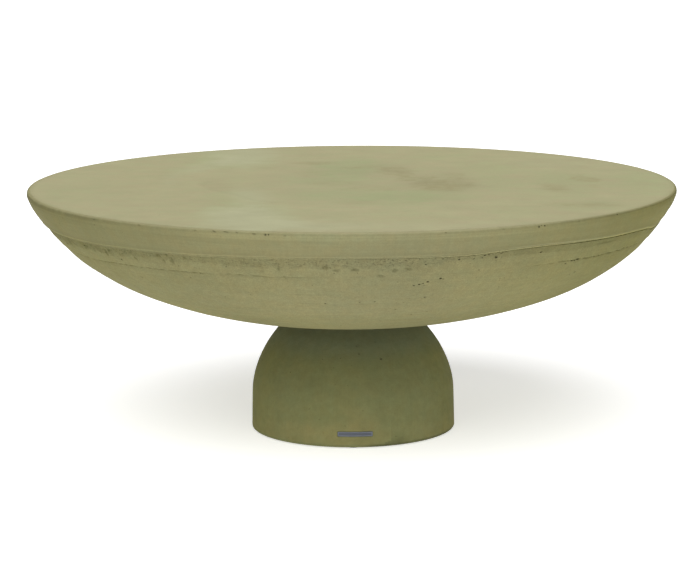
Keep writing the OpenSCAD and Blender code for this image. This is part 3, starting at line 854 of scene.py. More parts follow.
def pedestal():
    p, sl = pedestal_outline()
    q = np.arange(0, sl[-1] - 5.5, 0.5)
    r, z = np.interp(q, sl, p[:, 0]), np.interp(q, sl, p[:, 1])
    k = np.exp(-0.5 * (np.arange(-20, 21) / 7.0) ** 2)
    k /= k.sum()
    for a in (r, z):
        pad = np.concatenate([2 * a[0] - a[20:0:-1], a, 2 * a[-1] - a[-2:-22:-1]])
        a[:] = np.convolve(pad, k, "valid")
    tr, tz = np.gradient(r), np.gradient(z)
    l = np.hypot(tr, tz)
    nr, nz = -tz / l, tr / l
    s = Skin()
    seat_r = float(p[0, 0])
    s.ring(1, 0, SEAT_Z)
    for n, rr in ((20, 24), (40, 48), (80, 74), (160, seat_r - 3.0)):
        s.ring(n, rr, SEAT_Z)
    N = 640
    phi0 = {n: np.arange(n) * 360.0 / n for n in (320, 640)}
    s.ring(320, seat_r - 1.2, SEAT_Z - 0.1)
    svals = np.arange(1.5, q[-1], 2.0)
    for j, sv in enumerate(svals):
        n = 320 if j < 6 else N
        phi = phi0[n]
        r0, z0, a, b = (np.interp(sv, q, x) for x in (r, z, nr, nz))
        P = xyz(phi, r0, z0)
        d = 0.30 * perlin(P / 120, 71) + 0.13 * fbm(P / 34, 2, 72) + 0.04 * perlin(P / 10, 73) - 0.05
        # the mould's joint, a fine raised line that fades upward
        mould = np.exp(-(((phi - 20.6 + 180) % 360 - 180) * math.pi / 180 * 158 / 0.9) ** 2) * smooth((64 - z0) / 40)
        d = d + 0.35 * mould
        flat = smooth((9.5 - abs(z0 - PLATE_Z)) / 4) * smooth((36 - np.abs(((phi - PLATE_TURN + 180) % 360 - 180)) * math.pi / 180 * 158) / 6)
        d = d * (1 - flat)
        d = np.where(z0 < 7, d * 0.6 - 0.25 * smooth(fbm(P / 7, 2, 74) * 2 - 0.6), d)
        d = np.minimum(d, 0.0 if z0 < 8 else 0.6)
        tone = 0.12 * mould
        f = (phi + 180) % 360 - 180
        tan = blobs(f, z0 + 0 * f, [(2, 44, 30, 24, 0.55), (-4, 26, 62, 16, 0.4), (-30, 22, 40, 20, 0.3), (150, 40, 50, 26, 0.5), (-120, 60, 44, 30, 0.5)], 158, 0.6 * fbm(P / 28, 3, 75))
        low = smooth((50 - z0) / 42)
        tan = np.clip(tan + 0.55 * low * (1 + 0.5 * fbm(P / 30, 2, 78)), 0, 1.1)
        # a damp mark right of the front, with a straight upright edge on its left
        x = (f - 21.2) * math.pi / 180 * 158
        edge_x = smooth((x + 2.4 * np.maximum(11 - z0, 0) + 1.2) / 2.4) * smooth((46 - x) / 30) * smooth((40 - z0) / 26)
        tan = tan * (1 - 0.9 * edge_x)
        tone = tone - 0.11 * edge_x * smooth((30 - z0) / 24) - 0.16 * edge_x * smooth((17 - z0) / 12) * smooth((26 - x) / 16)
        # painted shade: lighter low down, darker toward the top under the bowl
        tone = tone + 0.08 * smooth((46 - z0) / 36) - 0.03 * smooth((z0 - 110) / 30) - 0.05 * math.exp(-((z0 - 96) / 26) ** 2) - 0.07 * smooth((z0 - 146) / 16)
        # painted contact shadow along the foot's lower edge on the right
        tone = tone - 0.40 * smooth((f - 4) / 10) * smooth((85 - f) / 20) * smooth((7.5 - z0) / 4) * (1 - 0.45 * smooth((f - 24) / 14))
        # hue of the painted light: greyer toward the top under the bowl, more olive round the sides
        cool = smooth((z0 - 119) / 36) - 0.12 - 0.38 * smooth((np.abs(f) - 42) / 26) * smooth((175 - np.abs(f)) / 40)
        # painted light: a little lighter right of the front, and on the upper sides
        tone = tone + 0.035 * smooth((f - 25) / 25) * smooth((120 - f) / 30)
        tone = tone + 0.05 * smooth((np.abs(f) - 52) / 14) * smooth((122 - np.abs(f)) / 30) * smooth((z0 - 70) / 40)
        s.ring(n, r0 + d * a, z0 + d * b, tan=tan, tone=tone, cool=cool)
    phi = phi0[N]
    P = xyz(phi, FOOT_R, FOOT_Z)
    chip = 0.35 * smooth(fbm(P / 9, 2, 76) * 2.2 - 0.7)
    f = (phi + 180) % 360 - 180
    # painted contact shadow along the foot's edge on the right, and painted shade deepening down the foot's rounded
    # edge
    foot_painted_shadow = 0.40 * smooth((f - 4) / 10) * smooth((85 - f) / 20) * (1 - 0.3 * smooth((f - 24) / 14))
    s.ring(N, FOOT_R - 0.25 - chip, FOOT_Z + 2.6, tone=-0.03 - foot_painted_shadow)
    s.ring(N, FOOT_R - 0.75 - chip, FOOT_Z + 1.2, tone=-0.05 - foot_painted_shadow)
    s.ring(N, FOOT_R - 1.7 - chip, FOOT_Z + 0.35, tone=-0.08 - foot_painted_shadow)
    s.ring(N, FOOT_R - 3.2, FOOT_Z)
    for n, rr in ((320, 150), (160, 120), (80, 80), (40, 40), (20, 16)):
        s.ring(n, rr, FOOT_Z)
    s.ring(1, 0, FOOT_Z)
    return s.mesh("pedestal", 45)


def box_mesh(x0, y0, z0, x1, y1, z1, name="box"):
    bm = bmesh.new()
    bmesh.ops.create_cube(bm, size=1)
    me = bpy.data.meshes.new(name)
    bm.to_mesh(me)
    bm.free()
    me.transform(Matrix.Translation(((x0 + x1) / 2 * MM, (y0 + y1) / 2 * MM, (z0 + z1) / 2 * MM))
                 @ Matrix.Diagonal(((x1 - x0) * MM, (y1 - y0) * MM, (z1 - z0) * MM, 1)))
    return me


def cyl(r, z0, z1, n=48, turn=0.0):
    s = Skin()
    s.ring(1, 0, z1)
    s.ring(n, r, z1)
    s.ring(n, r, z0)
    s.ring(1, 0, z0)
    me = s.mesh("cyl", 30)
    if turn:
        me.transform(Matrix.Rotation(math.radians(turn), 4, "Z"))
    return me


def bolt_places():
    return [Matrix.Rotation(math.radians(45 + 90 * i), 4, "Z") @ Matrix.Translation((BOLT_PCD / 2 * MM, 0, 0)) for i in range(4)]


def pad_places():
    return [Matrix.Rotation(math.radians(60 * (i + 0.5)), 4, "Z") @ Matrix.Translation((PAD_RING * MM, 0, 0)) for i in range(6)]


def plate_sector(r0, r1, half_l, half_h, z, corner, n=40, bevel=0.0):
    """Curved plate between two radii with rounded corners, closed."""
    pts = []
    for cx, cz, a0 in ((half_l - corner, half_h - corner, 0), (-half_l + corner, half_h - corner, 90),
                       (-half_l + corner, -half_h + corner, 180), (half_l - corner, -half_h + corner, 270)):
        for k in range(7):
            a = math.radians(a0 + 15 * k)
            pts.append((cx + corner * math.cos(a), cz + corner * math.sin(a)))
    # straight runs subdivided so that the plate bends round the wall
    out = []
    for i, p in enumerate(pts):
        q = pts[(i + 1) % len(pts)]
        out.append(p)
        l = math.hypot(q[0] - p[0], q[1] - p[1])
        m = int(l // 1.5)
        for k in range(1, m):
            out.append((p[0] + (q[0] - p[0]) * k / m, p[1] + (q[1] - p[1]) * k / m))
    bm = bmesh.new()
    rw = wall_at(z)

    def at(u, v, r):
        a = math.radians(PLATE_TURN) + u / rw
        return Vector((r * math.sin(a), -r * math.cos(a), z + v)) * MM
    rings = []
    specs = [(0.0, r0, 0), (0.0, r1 - bevel, 0), (bevel, r1, 0), (1.35, r1, 0), (1.6, r1 - 0.16, 1)] if bevel else [(0.0, r0, 0), (0.0, r1, 0)]
    lay = bm.verts.layers.float.new("field")
    for inset, r, field in specs:
        k = (half_l - inset) / half_l, (half_h - inset) / half_h
        rings.append([bm.verts.new(at(u * k[0], v * k[1], r)) for u, v in out])
        for v in rings[-1]:
            v[lay] = float(field)
    m = len(out)
    for a, b in zip(rings[:-1], rings[1:]):
        for i in range(m):
            bm.faces.new((a[i], a[(i + 1) % m], b[(i + 1) % m], b[i]))
    # faces across: the upper and the lower chain, both from the right end to the left
    up = [i for i, q in enumerate(out) if q[1] > 0]
    first = next(i for i in up if out[i - 1][1] <= 0)
    n_up = len(up)
    chain_a = [(first + k) % m for k in range(n_up)]
    chain_b = [(first - 1 - k) % m for k in range(m - n_up)]
    for ring in (rings[0], rings[-1]):
        i = j = 0
        while i < len(chain_a) - 1 or j < len(chain_b) - 1:
            a, b = chain_a[i], chain_b[j]
            if j == len(chain_b) - 1 or (i < len(chain_a) - 1 and out[chain_a[i + 1]][0] >= out[chain_b[j + 1]][0]):
                bm.faces.new((ring[a], ring[chain_a[i + 1]], ring[b]))
                i += 1
            else:
                bm.faces.new((ring[a], ring[chain_b[j + 1]], ring[b]))
                j += 1
    bmesh.ops.remove_doubles(bm, verts=bm.verts, dist=1e-7)
    bmesh.ops.recalc_face_normals(bm, faces=bm.faces)
    me = bpy.data.meshes.new("plate")
    bm.to_mesh(me)
    bm.free()
    me.shade_smooth()
    me.set_sharp_from_angle(angle=math.radians(25))
    return me


# ---------------------------------------------------------------- pits
def pit_cutter(items, name):
    """Irregular little hollows: (point, outward normal, along, half length, half width, depth, and an optional painted
    shade for the hollow, 0.55 if left out).
    """
    rs = np.random.RandomState(77)
    bm = bmesh.new()
    lay = bm.verts.layers.float.new("tone")
    lay2 = bm.verts.layers.float.new("side")
    for p, nrm, along, a, b, depth, *hollow_shade in items:
        nrm = Vector(nrm).normalized()
        u = Vector(along)
        u = (u - nrm * u.dot(nrm)).normalized()
        w = nrm.cross(u)
        turn = rs.uniform(-0.5, 0.5)
        u2, w2 = u * math.cos(turn) + w * math.sin(turn), w * math.cos(turn) - u * math.sin(turn)
        sub = 2
        res = bmesh.ops.create_icosphere(bm, subdivisions=sub, radius=1.0)
        seed = rs.uniform(0, 50, 3)
        up = 0.45
        for v in res["verts"]:
            c = np.array(v.co)
            k = 1 + 0.42 * float(perlin(c * 1.1 + seed, 3)) + 0.2 * float(perlin(c * 2.6 + seed, 4))
            q = c * k
            hgt = q[2] * (depth * 1.15 if q[2] < 0 else max(depth, 0.8) * 0.9)
            v.co = (Vector(p) + u2 * (q[0] * a) + w2 * (q[1] * b) + nrm * (hgt + up * 0.25 * depth)) * MM
            # painted shade inside the hollow
            v[lay] = -(hollow_shade[0] if hollow_shade else 0.55)
            v[lay2] = 1.0
    me = bpy.data.meshes.new(name)
    bm.to_mesh(me)
    bm.free()
    me.shade_smooth()
    return me


def surface_frame(phi, z):
    s = float(s_at(z))
    r, zz, nr, nz = (float(v) for v in on_outline(s))
    a = math.radians(phi)
    return (r * math.sin(a), -r * math.cos(a), zz), (nr * math.sin(a), -nr * math.cos(a), nz), (math.cos(a), math.sin(a), 0)


def clear(items, p, gap):
    return all(math.dist(p, q[0]) > gap + q[3] for q in items)


def bowl_pits():
    hand = [  # phi, z, half length, half width, depth
        (11.9, 300.8, 1.3, 0.9, 1.4), (12.6, 302.2, 1.0, 0.8, 1.0), (13.4, 304.6, 1.7, 1.3, 2.0), (15.6, 309.2, 2.0, 1.3, 2.0), (16.1, 308.0, 0.9, 0.7, 1.0),
        (13.9, 278.0, 1.5, 1.0, 1.4), (16.4, 248.8, 1.3, 1.0, 1.2), (13.2, 244.1, 1.6, 1.1, 1.4), (13.9, 247.5, 1.2, 0.9, 1.1), (1.4, 271.7, 1.0, 0.8, 1.0), (4.3, 272.6, 1.0, 0.8, 1.0),
        (-5.4, 269.2, 1.2, 0.8, 1.0), (6.8, 230.9, 1.1, 0.9, 1.0), (17.9, 338.6, 1.4, 1.0, 1.2), (33.4, 339.4, 1.9, 1.1, 1.8), (46.4, 295.2, 1.8, 1.2, 1.6),
        (45.4, 292.3, 1.4, 1.1, 1.4), (47.2, 294.2, 1.0, 0.8, 1.0), (42.7, 317.9, 2.2, 1.5, 2.2), (43.3, 316.4, 1.4, 1.0, 1.3), (44.1, 317.3, 1.9, 1.3, 2.0), (54.4, 317.7, 1.8, 1.1, 1.5), (57.8, 316.1, 1.6, 1.0, 1.3),
        (50.4, 316.9, 1.3, 0.9, 1.1), (37.8, 272.3, 3.4, 0.9, 0.8), (39.2, 271.2, 3.0, 0.8, 0.7), (40.7, 270.5, 2.4, 0.7, 0.7), (24.6, 337.9, 2.6, 1.7, 0.9),
        (20.5, 338.0, 1.3, 0.8, 1.0), (22.0, 339.0, 1.0, 0.8, 0.8), (9.0, 256.0, 1.1, 0.8, 0.9), (27.5, 286.0, 1.2, 0.9, 1.0), (31.0, 262.0, 1.1, 0.9, 1.0),
        (-30.7, 312.0, 1.6, 0.9, 1.2), (-27.9, 311.2, 1.5, 0.9, 1.2), (-36.0, 310.0, 1.4, 0.9, 1.0), (-45.6, 309.0, 1.6, 0.9, 1.2), (-51.0, 307.6, 1.8, 0.9, 1.2),
    ]
    items = []
    for phi, z, a, b, d in hand:
        p, nrm, along = surface_frame(phi, z)
        items.append((p, nrm, along, a * 1.2, b * 1.2, d * 1.15))
    # crumbled stretch of the joint
    rc = np.random.RandomState(305)
    for k in range(90):
        phi = 1.5 + 25 * rc.rand() ** 0.85
        p, nrm, along = surface_frame(phi, float(seam_height(phi)) - 2.4 - 3.4 * rc.rand() ** 1.6)
        a = 0.5 + 1.3 * rc.rand() ** 2
        if len(items) < 66 and clear(items, p, a + 0.9):
            items.append((p, nrm, along, a * rc.uniform(1.0, 2.0), a * 0.8, rc.uniform(0.6, 1.3), rc.uniform(0.25, 0.5)))
    rs = np.random.RandomState(301)
    # scattered air holes: more to the right of the front, fewer low down
    tries = 0
    while len(items) < 210 and tries < 6000:
        tries += 1
        phi = rs.uniform(-180, 180)
        z = 190 + 145 * rs.rand() ** 0.85
        density = 0.35 + 0.65 * math.exp(-((phi - 24) / 34) ** 2) + 0.5 * math.exp(-(((phi + 150 + 180) % 360 - 180) / 40) ** 2)
        if rs.rand() > density:
            continue
        p, nrm, along = surface_frame(phi, z)
        a = 0.45 + 0.75 * rs.rand() ** 2.5 * (1.5 if z > 300 else 1.0)
        if abs(z - cold_z(phi)) < 3:
            a *= 1.2
        if clear(items, p, a + 2.5):
            items.append((p, nrm, along, a * rs.uniform(1, 1.6), a, a * rs.uniform(0.8, 1.3)))
    return pit_cutter(items, "bowl_pits")


def slab_pits():
    items = []

    def edge(phi, t, a, b, d):
        c, q = math.cos(math.radians(t)), math.sin(math.radians(t))
        r, z = EDGE_CR + EDGE_R * c - 0.25 * c, EDGE_CZ + EDGE_R * q - 0.25 * q
        x = math.radians(phi)
        items.append(((r * math.sin(x), -r * math.cos(x), z), (c * math.sin(x), -c * math.cos(x), q), (math.cos(x), math.sin(x), 0), a, b, d))
    for phi, t, a, b, d in ((-13.7, 18, 1.4, 1.2, 1.4), (-13.2, 22, 1.1, 1.0, 1.2), (31.2, 22, 1.8, 1.5, 1.9), (32.3, 30, 1.4, 1.2, 1.6), (31.7, 40, 0.9, 0.8, 0.9), (49.1, 40, 1.6, 1.0, 1.2)):
        edge(phi, t, a, b, d)
    # worn places where the lip's edge has lost its skin
    for phi, t, a, b, d, k in ((-22.3, 33, 3.4, 0.9, 0.6, 0.34), (-20.3, 36, 4.6, 0.8, 0.5, 0.26), (-18.4, 34, 2.0, 0.7, 0.5, 0.22), (-25.6, 30, 1.6, 0.7, 0.4, 0.2), (-15.6, 24, 2.6, 1.0, 0.5, 0.22),
                               (-10.6, 12, 2.0, 0.8, 0.5, 0.2), (14.8, 32, 1.5, 0.8, 0.5, 0.25), (24.6, 30, 2.2, 0.8, 0.5, 0.22), (39.5, 34, 2.4, 0.8, 0.5, 0.22), (61.5, 36, 1.3, 0.9, 0.6, 0.3),
                               (-47.0, 30, 2.6, 0.8, 0.5, 0.22), (-36.5, 34, 2.2, 0.8, 0.5, 0.2)):
        edge(phi, t, a, b, d)
        items[-1] += (k,)
    rs = np.random.RandomState(302)
    for k in range(26):
        phi = 85 + 190 * rs.rand()
        if all(abs((phi - math.degrees(math.atan2(i[0][0], -i[0][1])) + 180) % 360 - 180) > 1.2 for i in items):
            edge((phi + 180) % 360 - 180, rs.uniform(5, 50), rs.uniform(0.8, 2.4), rs.uniform(0.7, 1.2), rs.uniform(0.6, 1.5))
    tries = 0
    while len(items) < 120 and tries < 3000:
        tries += 1
        phi, z = rs.uniform(-180, 180), rs.uniform(350, 372)
        p, nrm, along = surface_frame(phi, z)
        a = 0.35 + 0.5 * rs.rand() ** 3
        if clear(items, p, a + 3):
            items.append((p, nrm, along, a * rs.uniform(1, 1.8), a, a * rs.uniform(0.7, 1.1)))
    return pit_cutter(items, "slab_pits")


def pedestal_pits():
    p, sl = pedestal_outline()
    zz, rr = p[:, 1], p[:, 0]
    items = []

    # a hollow at phi and z, with its painted shade
    def at(phi, z, a, b, d, hollow_shade):
        r = float(np.interp(z, zz[::-1], rr[::-1]))
        r2 = float(np.interp(z + 1, zz[::-1], rr[::-1]))
        tr, tz = r2 - r, 1.0
        l = math.hypot(tr, tz)
        nr, nz = tz / l, -tr / l
        x = math.radians(phi)
        items.append(((r * math.sin(x), -r * math.cos(x), z), (nr * math.sin(x), -nr * math.cos(x), nz), (math.cos(x), math.sin(x), 0), a, b, d, hollow_shade))
    for phi, z, a, b, d in ((18.4, 131.9, 1.9, 1.5, 1.8), (4.1, 140.1, 1.4, 1.2, 1.2), (2.7, 150.9, 1.1, 1.0, 1.0), (-40.6, 109.0, 1.2, 1.0, 1.0), (57.1, 140.1, 1.2, 1.0, 1.0), (16.5, 155.0, 0.9, 0.8, 0.8), (-20, 132, 0.9, 0.8, 0.8),
                            (-12, 121, 0.8, 0.7, 0.7), (24.0, 16.0, 1.2, 0.8, 0.8)):
        at(phi, z, a, b, d, 0.5 if a > 1.5 else 0.22)
    rs = np.random.RandomState(303)
    for k in range(60):
        phi, z = rs.uniform(-180, 180), rs.uniform(34, 165)
        a = 0.35 + 0.6 * rs.rand() ** 3
        n0 = len(items)
        at(phi, z, a * rs.uniform(1, 1.5), a, 0.7 * a, 0.12)
        if not clear(items[:n0], items[-1][0], a + 3):
            items.pop()
    return pit_cutter(items, "pedestal_pits")


# ---------------------------------------------------------------- materials
def new_mat(name):
    m = bpy.data.materials.new(name)
    m.use_nodes = True
    nt = m.node_tree
    nt.nodes.clear()
    out = nt.nodes.new("ShaderNodeOutputMaterial")
    bsdf = nt.nodes.new("ShaderNodeBsdfPrincipled")
    nt.links.new(bsdf.outputs[0], out.inputs[0])
    return m, nt, bsdf


class G:
    """Small helper that wires shader nodes."""

    def __init__(self, nt):
        self.nt = nt
        self.obj = nt.nodes.new("ShaderNodeTexCoord").outputs["Object"]

    def put(self, sock, v):
        if isinstance(v, (int, float)):
            sock.default_value = v
        elif isinstance(v, (tuple, list)):
            sock.default_value = tuple(v) + ((1.0,) if len(v) == 3 and sock.type == "RGBA" else ())
        else:
            self.nt.links.new(v, sock)

    def math(self, op, a, b=0.0, c=0.0, clamp=False):
        n = self.nt.nodes.new("ShaderNodeMath")
        n.operation, n.use_clamp = op, clamp
        for s, v in zip(n.inputs, (a, b, c)):
            self.put(s, v)
        return n.outputs[0]

    def vec(self, op, a, b=(0, 0, 0)):
        n = self.nt.nodes.new("ShaderNodeVectorMath")
        n.operation = op
        self.put(n.inputs[0], a)
        if op == "SCALE":
            self.put(n.inputs["Scale"], b)
        else:
            self.put(n.inputs[1], b)
        return n.outputs[0]

    def scaled(self, k):
        return self.vec("MULTIPLY", self.obj, k if isinstance(k, tuple) else (k, k, k))

    def noise(self, vec, scale=1.0, detail=2.0, rough=0.5, dist=0.0, colour=False):
        n = self.nt.nodes.new("ShaderNodeTexNoise")
        n.noise_dimensions = "3D"
        self.put(n.inputs["Vector"], vec)
        n.inputs["Scale"].default_value = scale
        n.inputs["Detail"].default_value = detail
        n.inputs["Roughness"].default_value = rough
        n.inputs["Distortion"].default_value = dist
        return n.outputs["Color" if colour else "Fac"]

    def voronoi(self, vec, scale, feature="F1", rand=1.0):
        n = self.nt.nodes.new("ShaderNodeTexVoronoi")
        n.voronoi_dimensions, n.feature = "3D", feature
        self.put(n.inputs["Vector"], vec)
        n.inputs["Scale"].default_value = scale
        n.inputs["Randomness"].default_value = rand
        return n.outputs

    def remap(self, x, a, b, c=0.0, d=1.0, smooth_=True):
        n = self.nt.nodes.new("ShaderNodeMapRange")
        n.interpolation_type = "SMOOTHSTEP" if smooth_ else "LINEAR"
        n.clamp = True
        self.put(n.inputs["Value"], x)
        for s, v in zip(("From Min", "From Max", "To Min", "To Max"), (a, b, c, d)):
            n.inputs[s].default_value = v
        return n.outputs[0]

    def mix(self, fac, a, b, mode="MIX"):
        n = self.nt.nodes.new("ShaderNodeMix")
        n.data_type, n.blend_type = "RGBA", mode
        n.clamp_factor = True
        self.put(n.inputs[0], fac)
        self.put(n.inputs[6], a)
        self.put(n.inputs[7], b)
        return n.outputs[2]

    def attr(self, name):
        n = self.nt.nodes.new("ShaderNodeAttribute")
        n.attribute_name = name
        return n.outputs["Fac"]

    def sep(self, v):
        n = self.nt.nodes.new("ShaderNodeSeparateXYZ")
        self.put(n.inputs[0], v)
        return n.outputs

    def comb(self, x, y, z):
        n = self.nt.nodes.new("ShaderNodeCombineXYZ")
        for s, v in zip(n.inputs, (x, y, z)):
            self.put(s, v)
        return n.outputs[0]

    def bump(self, height, distance, strength=1.0, normal=None):
        n = self.nt.nodes.new("ShaderNodeBump")
        n.inputs["Strength"].default_value = strength
        n.inputs["Distance"].default_value = distance
        self.put(n.inputs["Height"], height)
        if normal is not None:
            self.put(n.inputs["Normal"], normal)
        return n.outputs[0]

    def grey(self, x, base):
        """Colour base times the grey value x."""
        n = self.nt.nodes.new("ShaderNodeVectorMath")
        n.operation = "SCALE"
        self.put(n.inputs[0], base)
        self.put(n.inputs["Scale"], x)
        return n.outputs[0]


# colours in linear light
TOP_KHAKI = (0.4362, 0.4098, 0.2395)
SIDE_A = (0.2090, 0.1945, 0.0838)
SIDE_B = (0.1895, 0.1790, 0.0790)
PED_A = (0.1815, 0.1845, 0.0785)
PED_B = (0.2085, 0.1930, 0.0820)


def concrete(name, kind):
    m, nt, bsdf = new_mat(name)
    g = G(nt)
    p = g.obj
    big = g.noise(p, 5.0, 3.0, 0.55)
    mid = g.noise(g.vec("ADD", p, (3.1, 7.7, 1.3)), 22.0, 4.0, 0.6)
    small = g.noise(g.vec("ADD", p, (9.1, 2.7, 5.3)), 120.0, 3.0, 0.6)
    sand = g.noise(p, 900.0, 1.0, 0.5)
    grit = g.noise(g.vec("ADD", p, (1.7, 4.2, 8.8)), 420.0, 2.0, 0.6)
    x, y, z = g.sep(p)[0:3]
    rad = g.math("SQRT", g.math("ADD", g.math("MULTIPLY", x, x), g.math("MULTIPLY", y, y)))
    inv = g.math("DIVIDE", 1.0, g.math("MAXIMUM", rad, 0.02))
    ux, uy = g.math("MULTIPLY", x, inv), g.math("MULTIPLY", y, inv)
    rings = g.noise(g.vec("MULTIPLY", p, (9.0, 9.0, 330.0)), 1.0, 2.0, 0.6)
    strokes = g.noise(g.comb(g.math("MULTIPLY", ux, 130.0), g.math("MULTIPLY", uy, 130.0), g.math("MULTIPLY", z, 9.0)), 1.0, 2.0, 0.5)
    tone = g.attr("tone")
    fade = {"top": 0.34, "bowl": 0.74, "pedestal": 0.22, "mortar": 0.8}[kind]
    soft = {"top": 0.55, "bowl": 1.1, "pedestal": 1.0, "mortar": 1.0}[kind]

    # ---- side colour
    if kind == "pedestal":
        side = g.mix(g.remap(big, 0.38, 0.66), PED_A, (0.1680, 0.1737, 0.0768))
        side = g.mix(g.math("MULTIPLY", g.attr("tan"), g.remap(mid, 0.3, 0.7, 0.55, 1.0)), side, PED_B)
        side = g.mix(g.remap(mid, 0.60, 0.78, 0.0, 0.35), side, (0.1500, 0.1575, 0.0688))
    else:
        side = g.mix(g.remap(big, 0.36, 0.66), SIDE_A, SIDE_B)
        side = g.mix(g.remap(mid, 0.56, 0.78, 0.0, 0.40), side, (0.1850, 0.1800, 0.0822))
        side = g.mix(g.remap(g.noise(g.vec("ADD", p, (5.5, 1.5, 2.5)), 11.0, 3.0, 0.6), 0.58, 0.74, 0.0, 0.24), side, (0.2170, 0.1965, 0.0885))
    cool = g.attr("cool")
    side = g.vec("MULTIPLY", side, g.comb(g.math("ADD", 1.0, g.math("MULTIPLY", cool, -0.065 if kind == "pedestal" else 0.0)), 1.0, g.math("ADD", 1.0, g.math("MULTIPLY", cool, 0.27 if kind == "pedestal" else 0.25))))
    k = g.math("ADD", 1.0, tone)
    k = g.math("MULTIPLY", k, g.remap(small, 0.25, 0.75, 1 - 0.07 * soft, 1 + 0.07 * soft, False))
    k = g.math("MULTIPLY", k, g.remap(grit, 0.3, 0.7, 1 - 0.11 * fade, 1 + 0.11 * fade, False))
    k = g.math("MULTIPLY", k, g.remap(sand, 0.3, 0.7, 1 - 0.13 * fade, 1 + 0.13 * fade, False))
    hue2 = g.noise(g.vec("ADD", p, (8.0, 1.0, 6.0)), 48.0, 3.0, 0.6)
    side = g.vec("MULTIPLY", side, g.mix(g.remap(hue2, 0.32, 0.68), (1.014, 0.991, 0.975), (0.986, 1.009, 1.025)))
    if kind in ("top", "bowl"):
        k = g.math("MULTIPLY", k, g.remap(rings, 0.3, 0.7, 0.965, 1.035, False))
    if kind == "top":
        moss = g.attr("moss")
        side = g.vec("MULTIPLY", side, g.comb(g.math("SUBTRACT", 1.0, g.math("MULTIPLY", moss, 0.045)), 1.0, g.math("ADD", 1.0, g.math("MULTIPLY", moss, 0.03))))
    if kind == "pedestal":
        k = g.math("MULTIPLY", k, g.remap(g.noise(g.vec("ADD", p, (4.4, 0.6, 7.1)), 62.0, 3.0, 0.55), 0.3, 0.7, 0.955, 1.045, False))
    cracks = None
    if kind == "bowl":
        # scrapes and crumbs in the ragged margin under the joint
        worn = g.attr("worn")
        fold = g.math("ABSOLUTE", g.math("SUBTRACT", g.noise(g.vec("MULTIPLY", p, (62.0, 62.0, 170.0)), 1.0, 2.0, 0.55), 0.5))
        line = g.math("MULTIPLY", g.remap(fold, 0.008, 0.042, 1.0, 0.0), g.remap(g.noise(g.vec("ADD", p, (2.2, 6.6, 3.3)), 48.0, 2.0, 0.5), 0.46, 0.60))
        crumb = g.remap(g.noise(g.vec("ADD", p, (5.2, 3.9, 0.4)), 330.0, 2.0, 0.6), 0.57, 0.67)
        fleck = g.remap(g.noise(g.vec("ADD", p, (0.8, 9.4, 6.1)), 300.0, 2.0, 0.6), 0.60, 0.70)
        cracks = g.math("MULTIPLY", worn, g.math("MAXIMUM", g.math("MULTIPLY", line, 0.22), g.math("MULTIPLY", crumb, 0.30)))
        k = g.math("MULTIPLY", k, g.math("SUBTRACT", 1.0, cracks))
        k = g.math("MULTIPLY", k, g.math("ADD", 1.0, g.math("MULTIPLY", g.math("MULTIPLY", worn, fleck), 0.14)))
    k = g.math("MULTIPLY", k, g.remap(strokes, 0.3, 0.7, 0.982, 1.018, False))
    # specks: air holes too small to model, darkened with painted shade and sunk by the bump
    v1 = g.voronoi(g.vec("ADD", p, (0.3, 0.7, 0.2)), 150.0)
    v2 = g.voronoi(p, 62.0)
    cell1 = g.sep(v1["Color"])[0]
    cell2 = g.sep(v2["Color"])[0]
    patchy = g.remap(g.noise(g.vec("ADD", p, (7.0, 7.0, 7.0)), 9.0, 3.0, 0.6), 0.42, 0.62)
    s1 = g.math("MULTIPLY", g.remap(v1["Distance"], 0.07, 0.15, 1.0, 0.0), g.math("MULTIPLY", g.math("GREATER_THAN", cell1, 0.80), patchy))
    s2 = g.math("MULTIPLY", g.remap(v2["Distance"], 0.035, 0.075, 1.0, 0.0), g.math("GREATER_THAN", cell2, 0.82))
    amount = {"top": 0.5, "bowl": 1.0, "pedestal": 0.55, "mortar": 0.6}[kind]
    specks = g.math("MAXIMUM", s1, s2)
    k = g.math("MULTIPLY", k, g.math("SUBTRACT", 1.0, g.math("MULTIPLY", specks, 0.42 * amount)))
    side = g.grey(k, side)
    height = g.math("ADD", g.math("MULTIPLY", small, 0.5), g.math("MULTIPLY", grit, 0.30))
    height = g.math("ADD", height, g.math("MULTIPLY", sand, 0.16))
    height = g.math("ADD", height, g.math("MULTIPLY", rings, 0.25 if kind in ("top", "bowl") else 0.05))
    height = g.math("SUBTRACT", height, g.math("MULTIPLY", specks, 0.9 * amount))
    if cracks is not None:
        height = g.math("SUBTRACT", height, g.math("MULTIPLY", cracks, 2.2))
    rough = g.remap(mid, 0.3, 0.7, 0.78, 0.90, False)

    if kind == "top":
        # the trowelled face: smoother, with green and tan patches and a pale painted sheen of a reflection
        K = TOP_KHAKI
        tint = lambda k: tuple(a * b for a, b in zip(K, k))
        edge = g.noise(g.vec("ADD", p, (2.0, 9.0, 4.0)), 45.0, 4.0, 0.65)
        hue = g.noise(g.vec("ADD", p, (6.0, 3.0, 1.0)), 26.0, 3.0, 0.6)
        arcs = g.noise(g.vec("MULTIPLY", g.vec("ADD", p, g.vec("SCALE", g.noise(p, 6.0, 2.0, 0.5, colour=True), 0.10)), (9.0, 34.0, 1.0)), 1.0, 3.0, 0.6)
        t = g.mix(g.remap(hue, 0.35, 0.65), tint((1.012, 0.99, 1.0)), tint((0.985, 1.008, 0.995)))
        t = g.mix(g.math("MULTIPLY", g.attr("green"), g.remap(edge, 0.30, 0.66, 0.65, 1.1)), t, tint((0.925, 1.022, 0.955)))
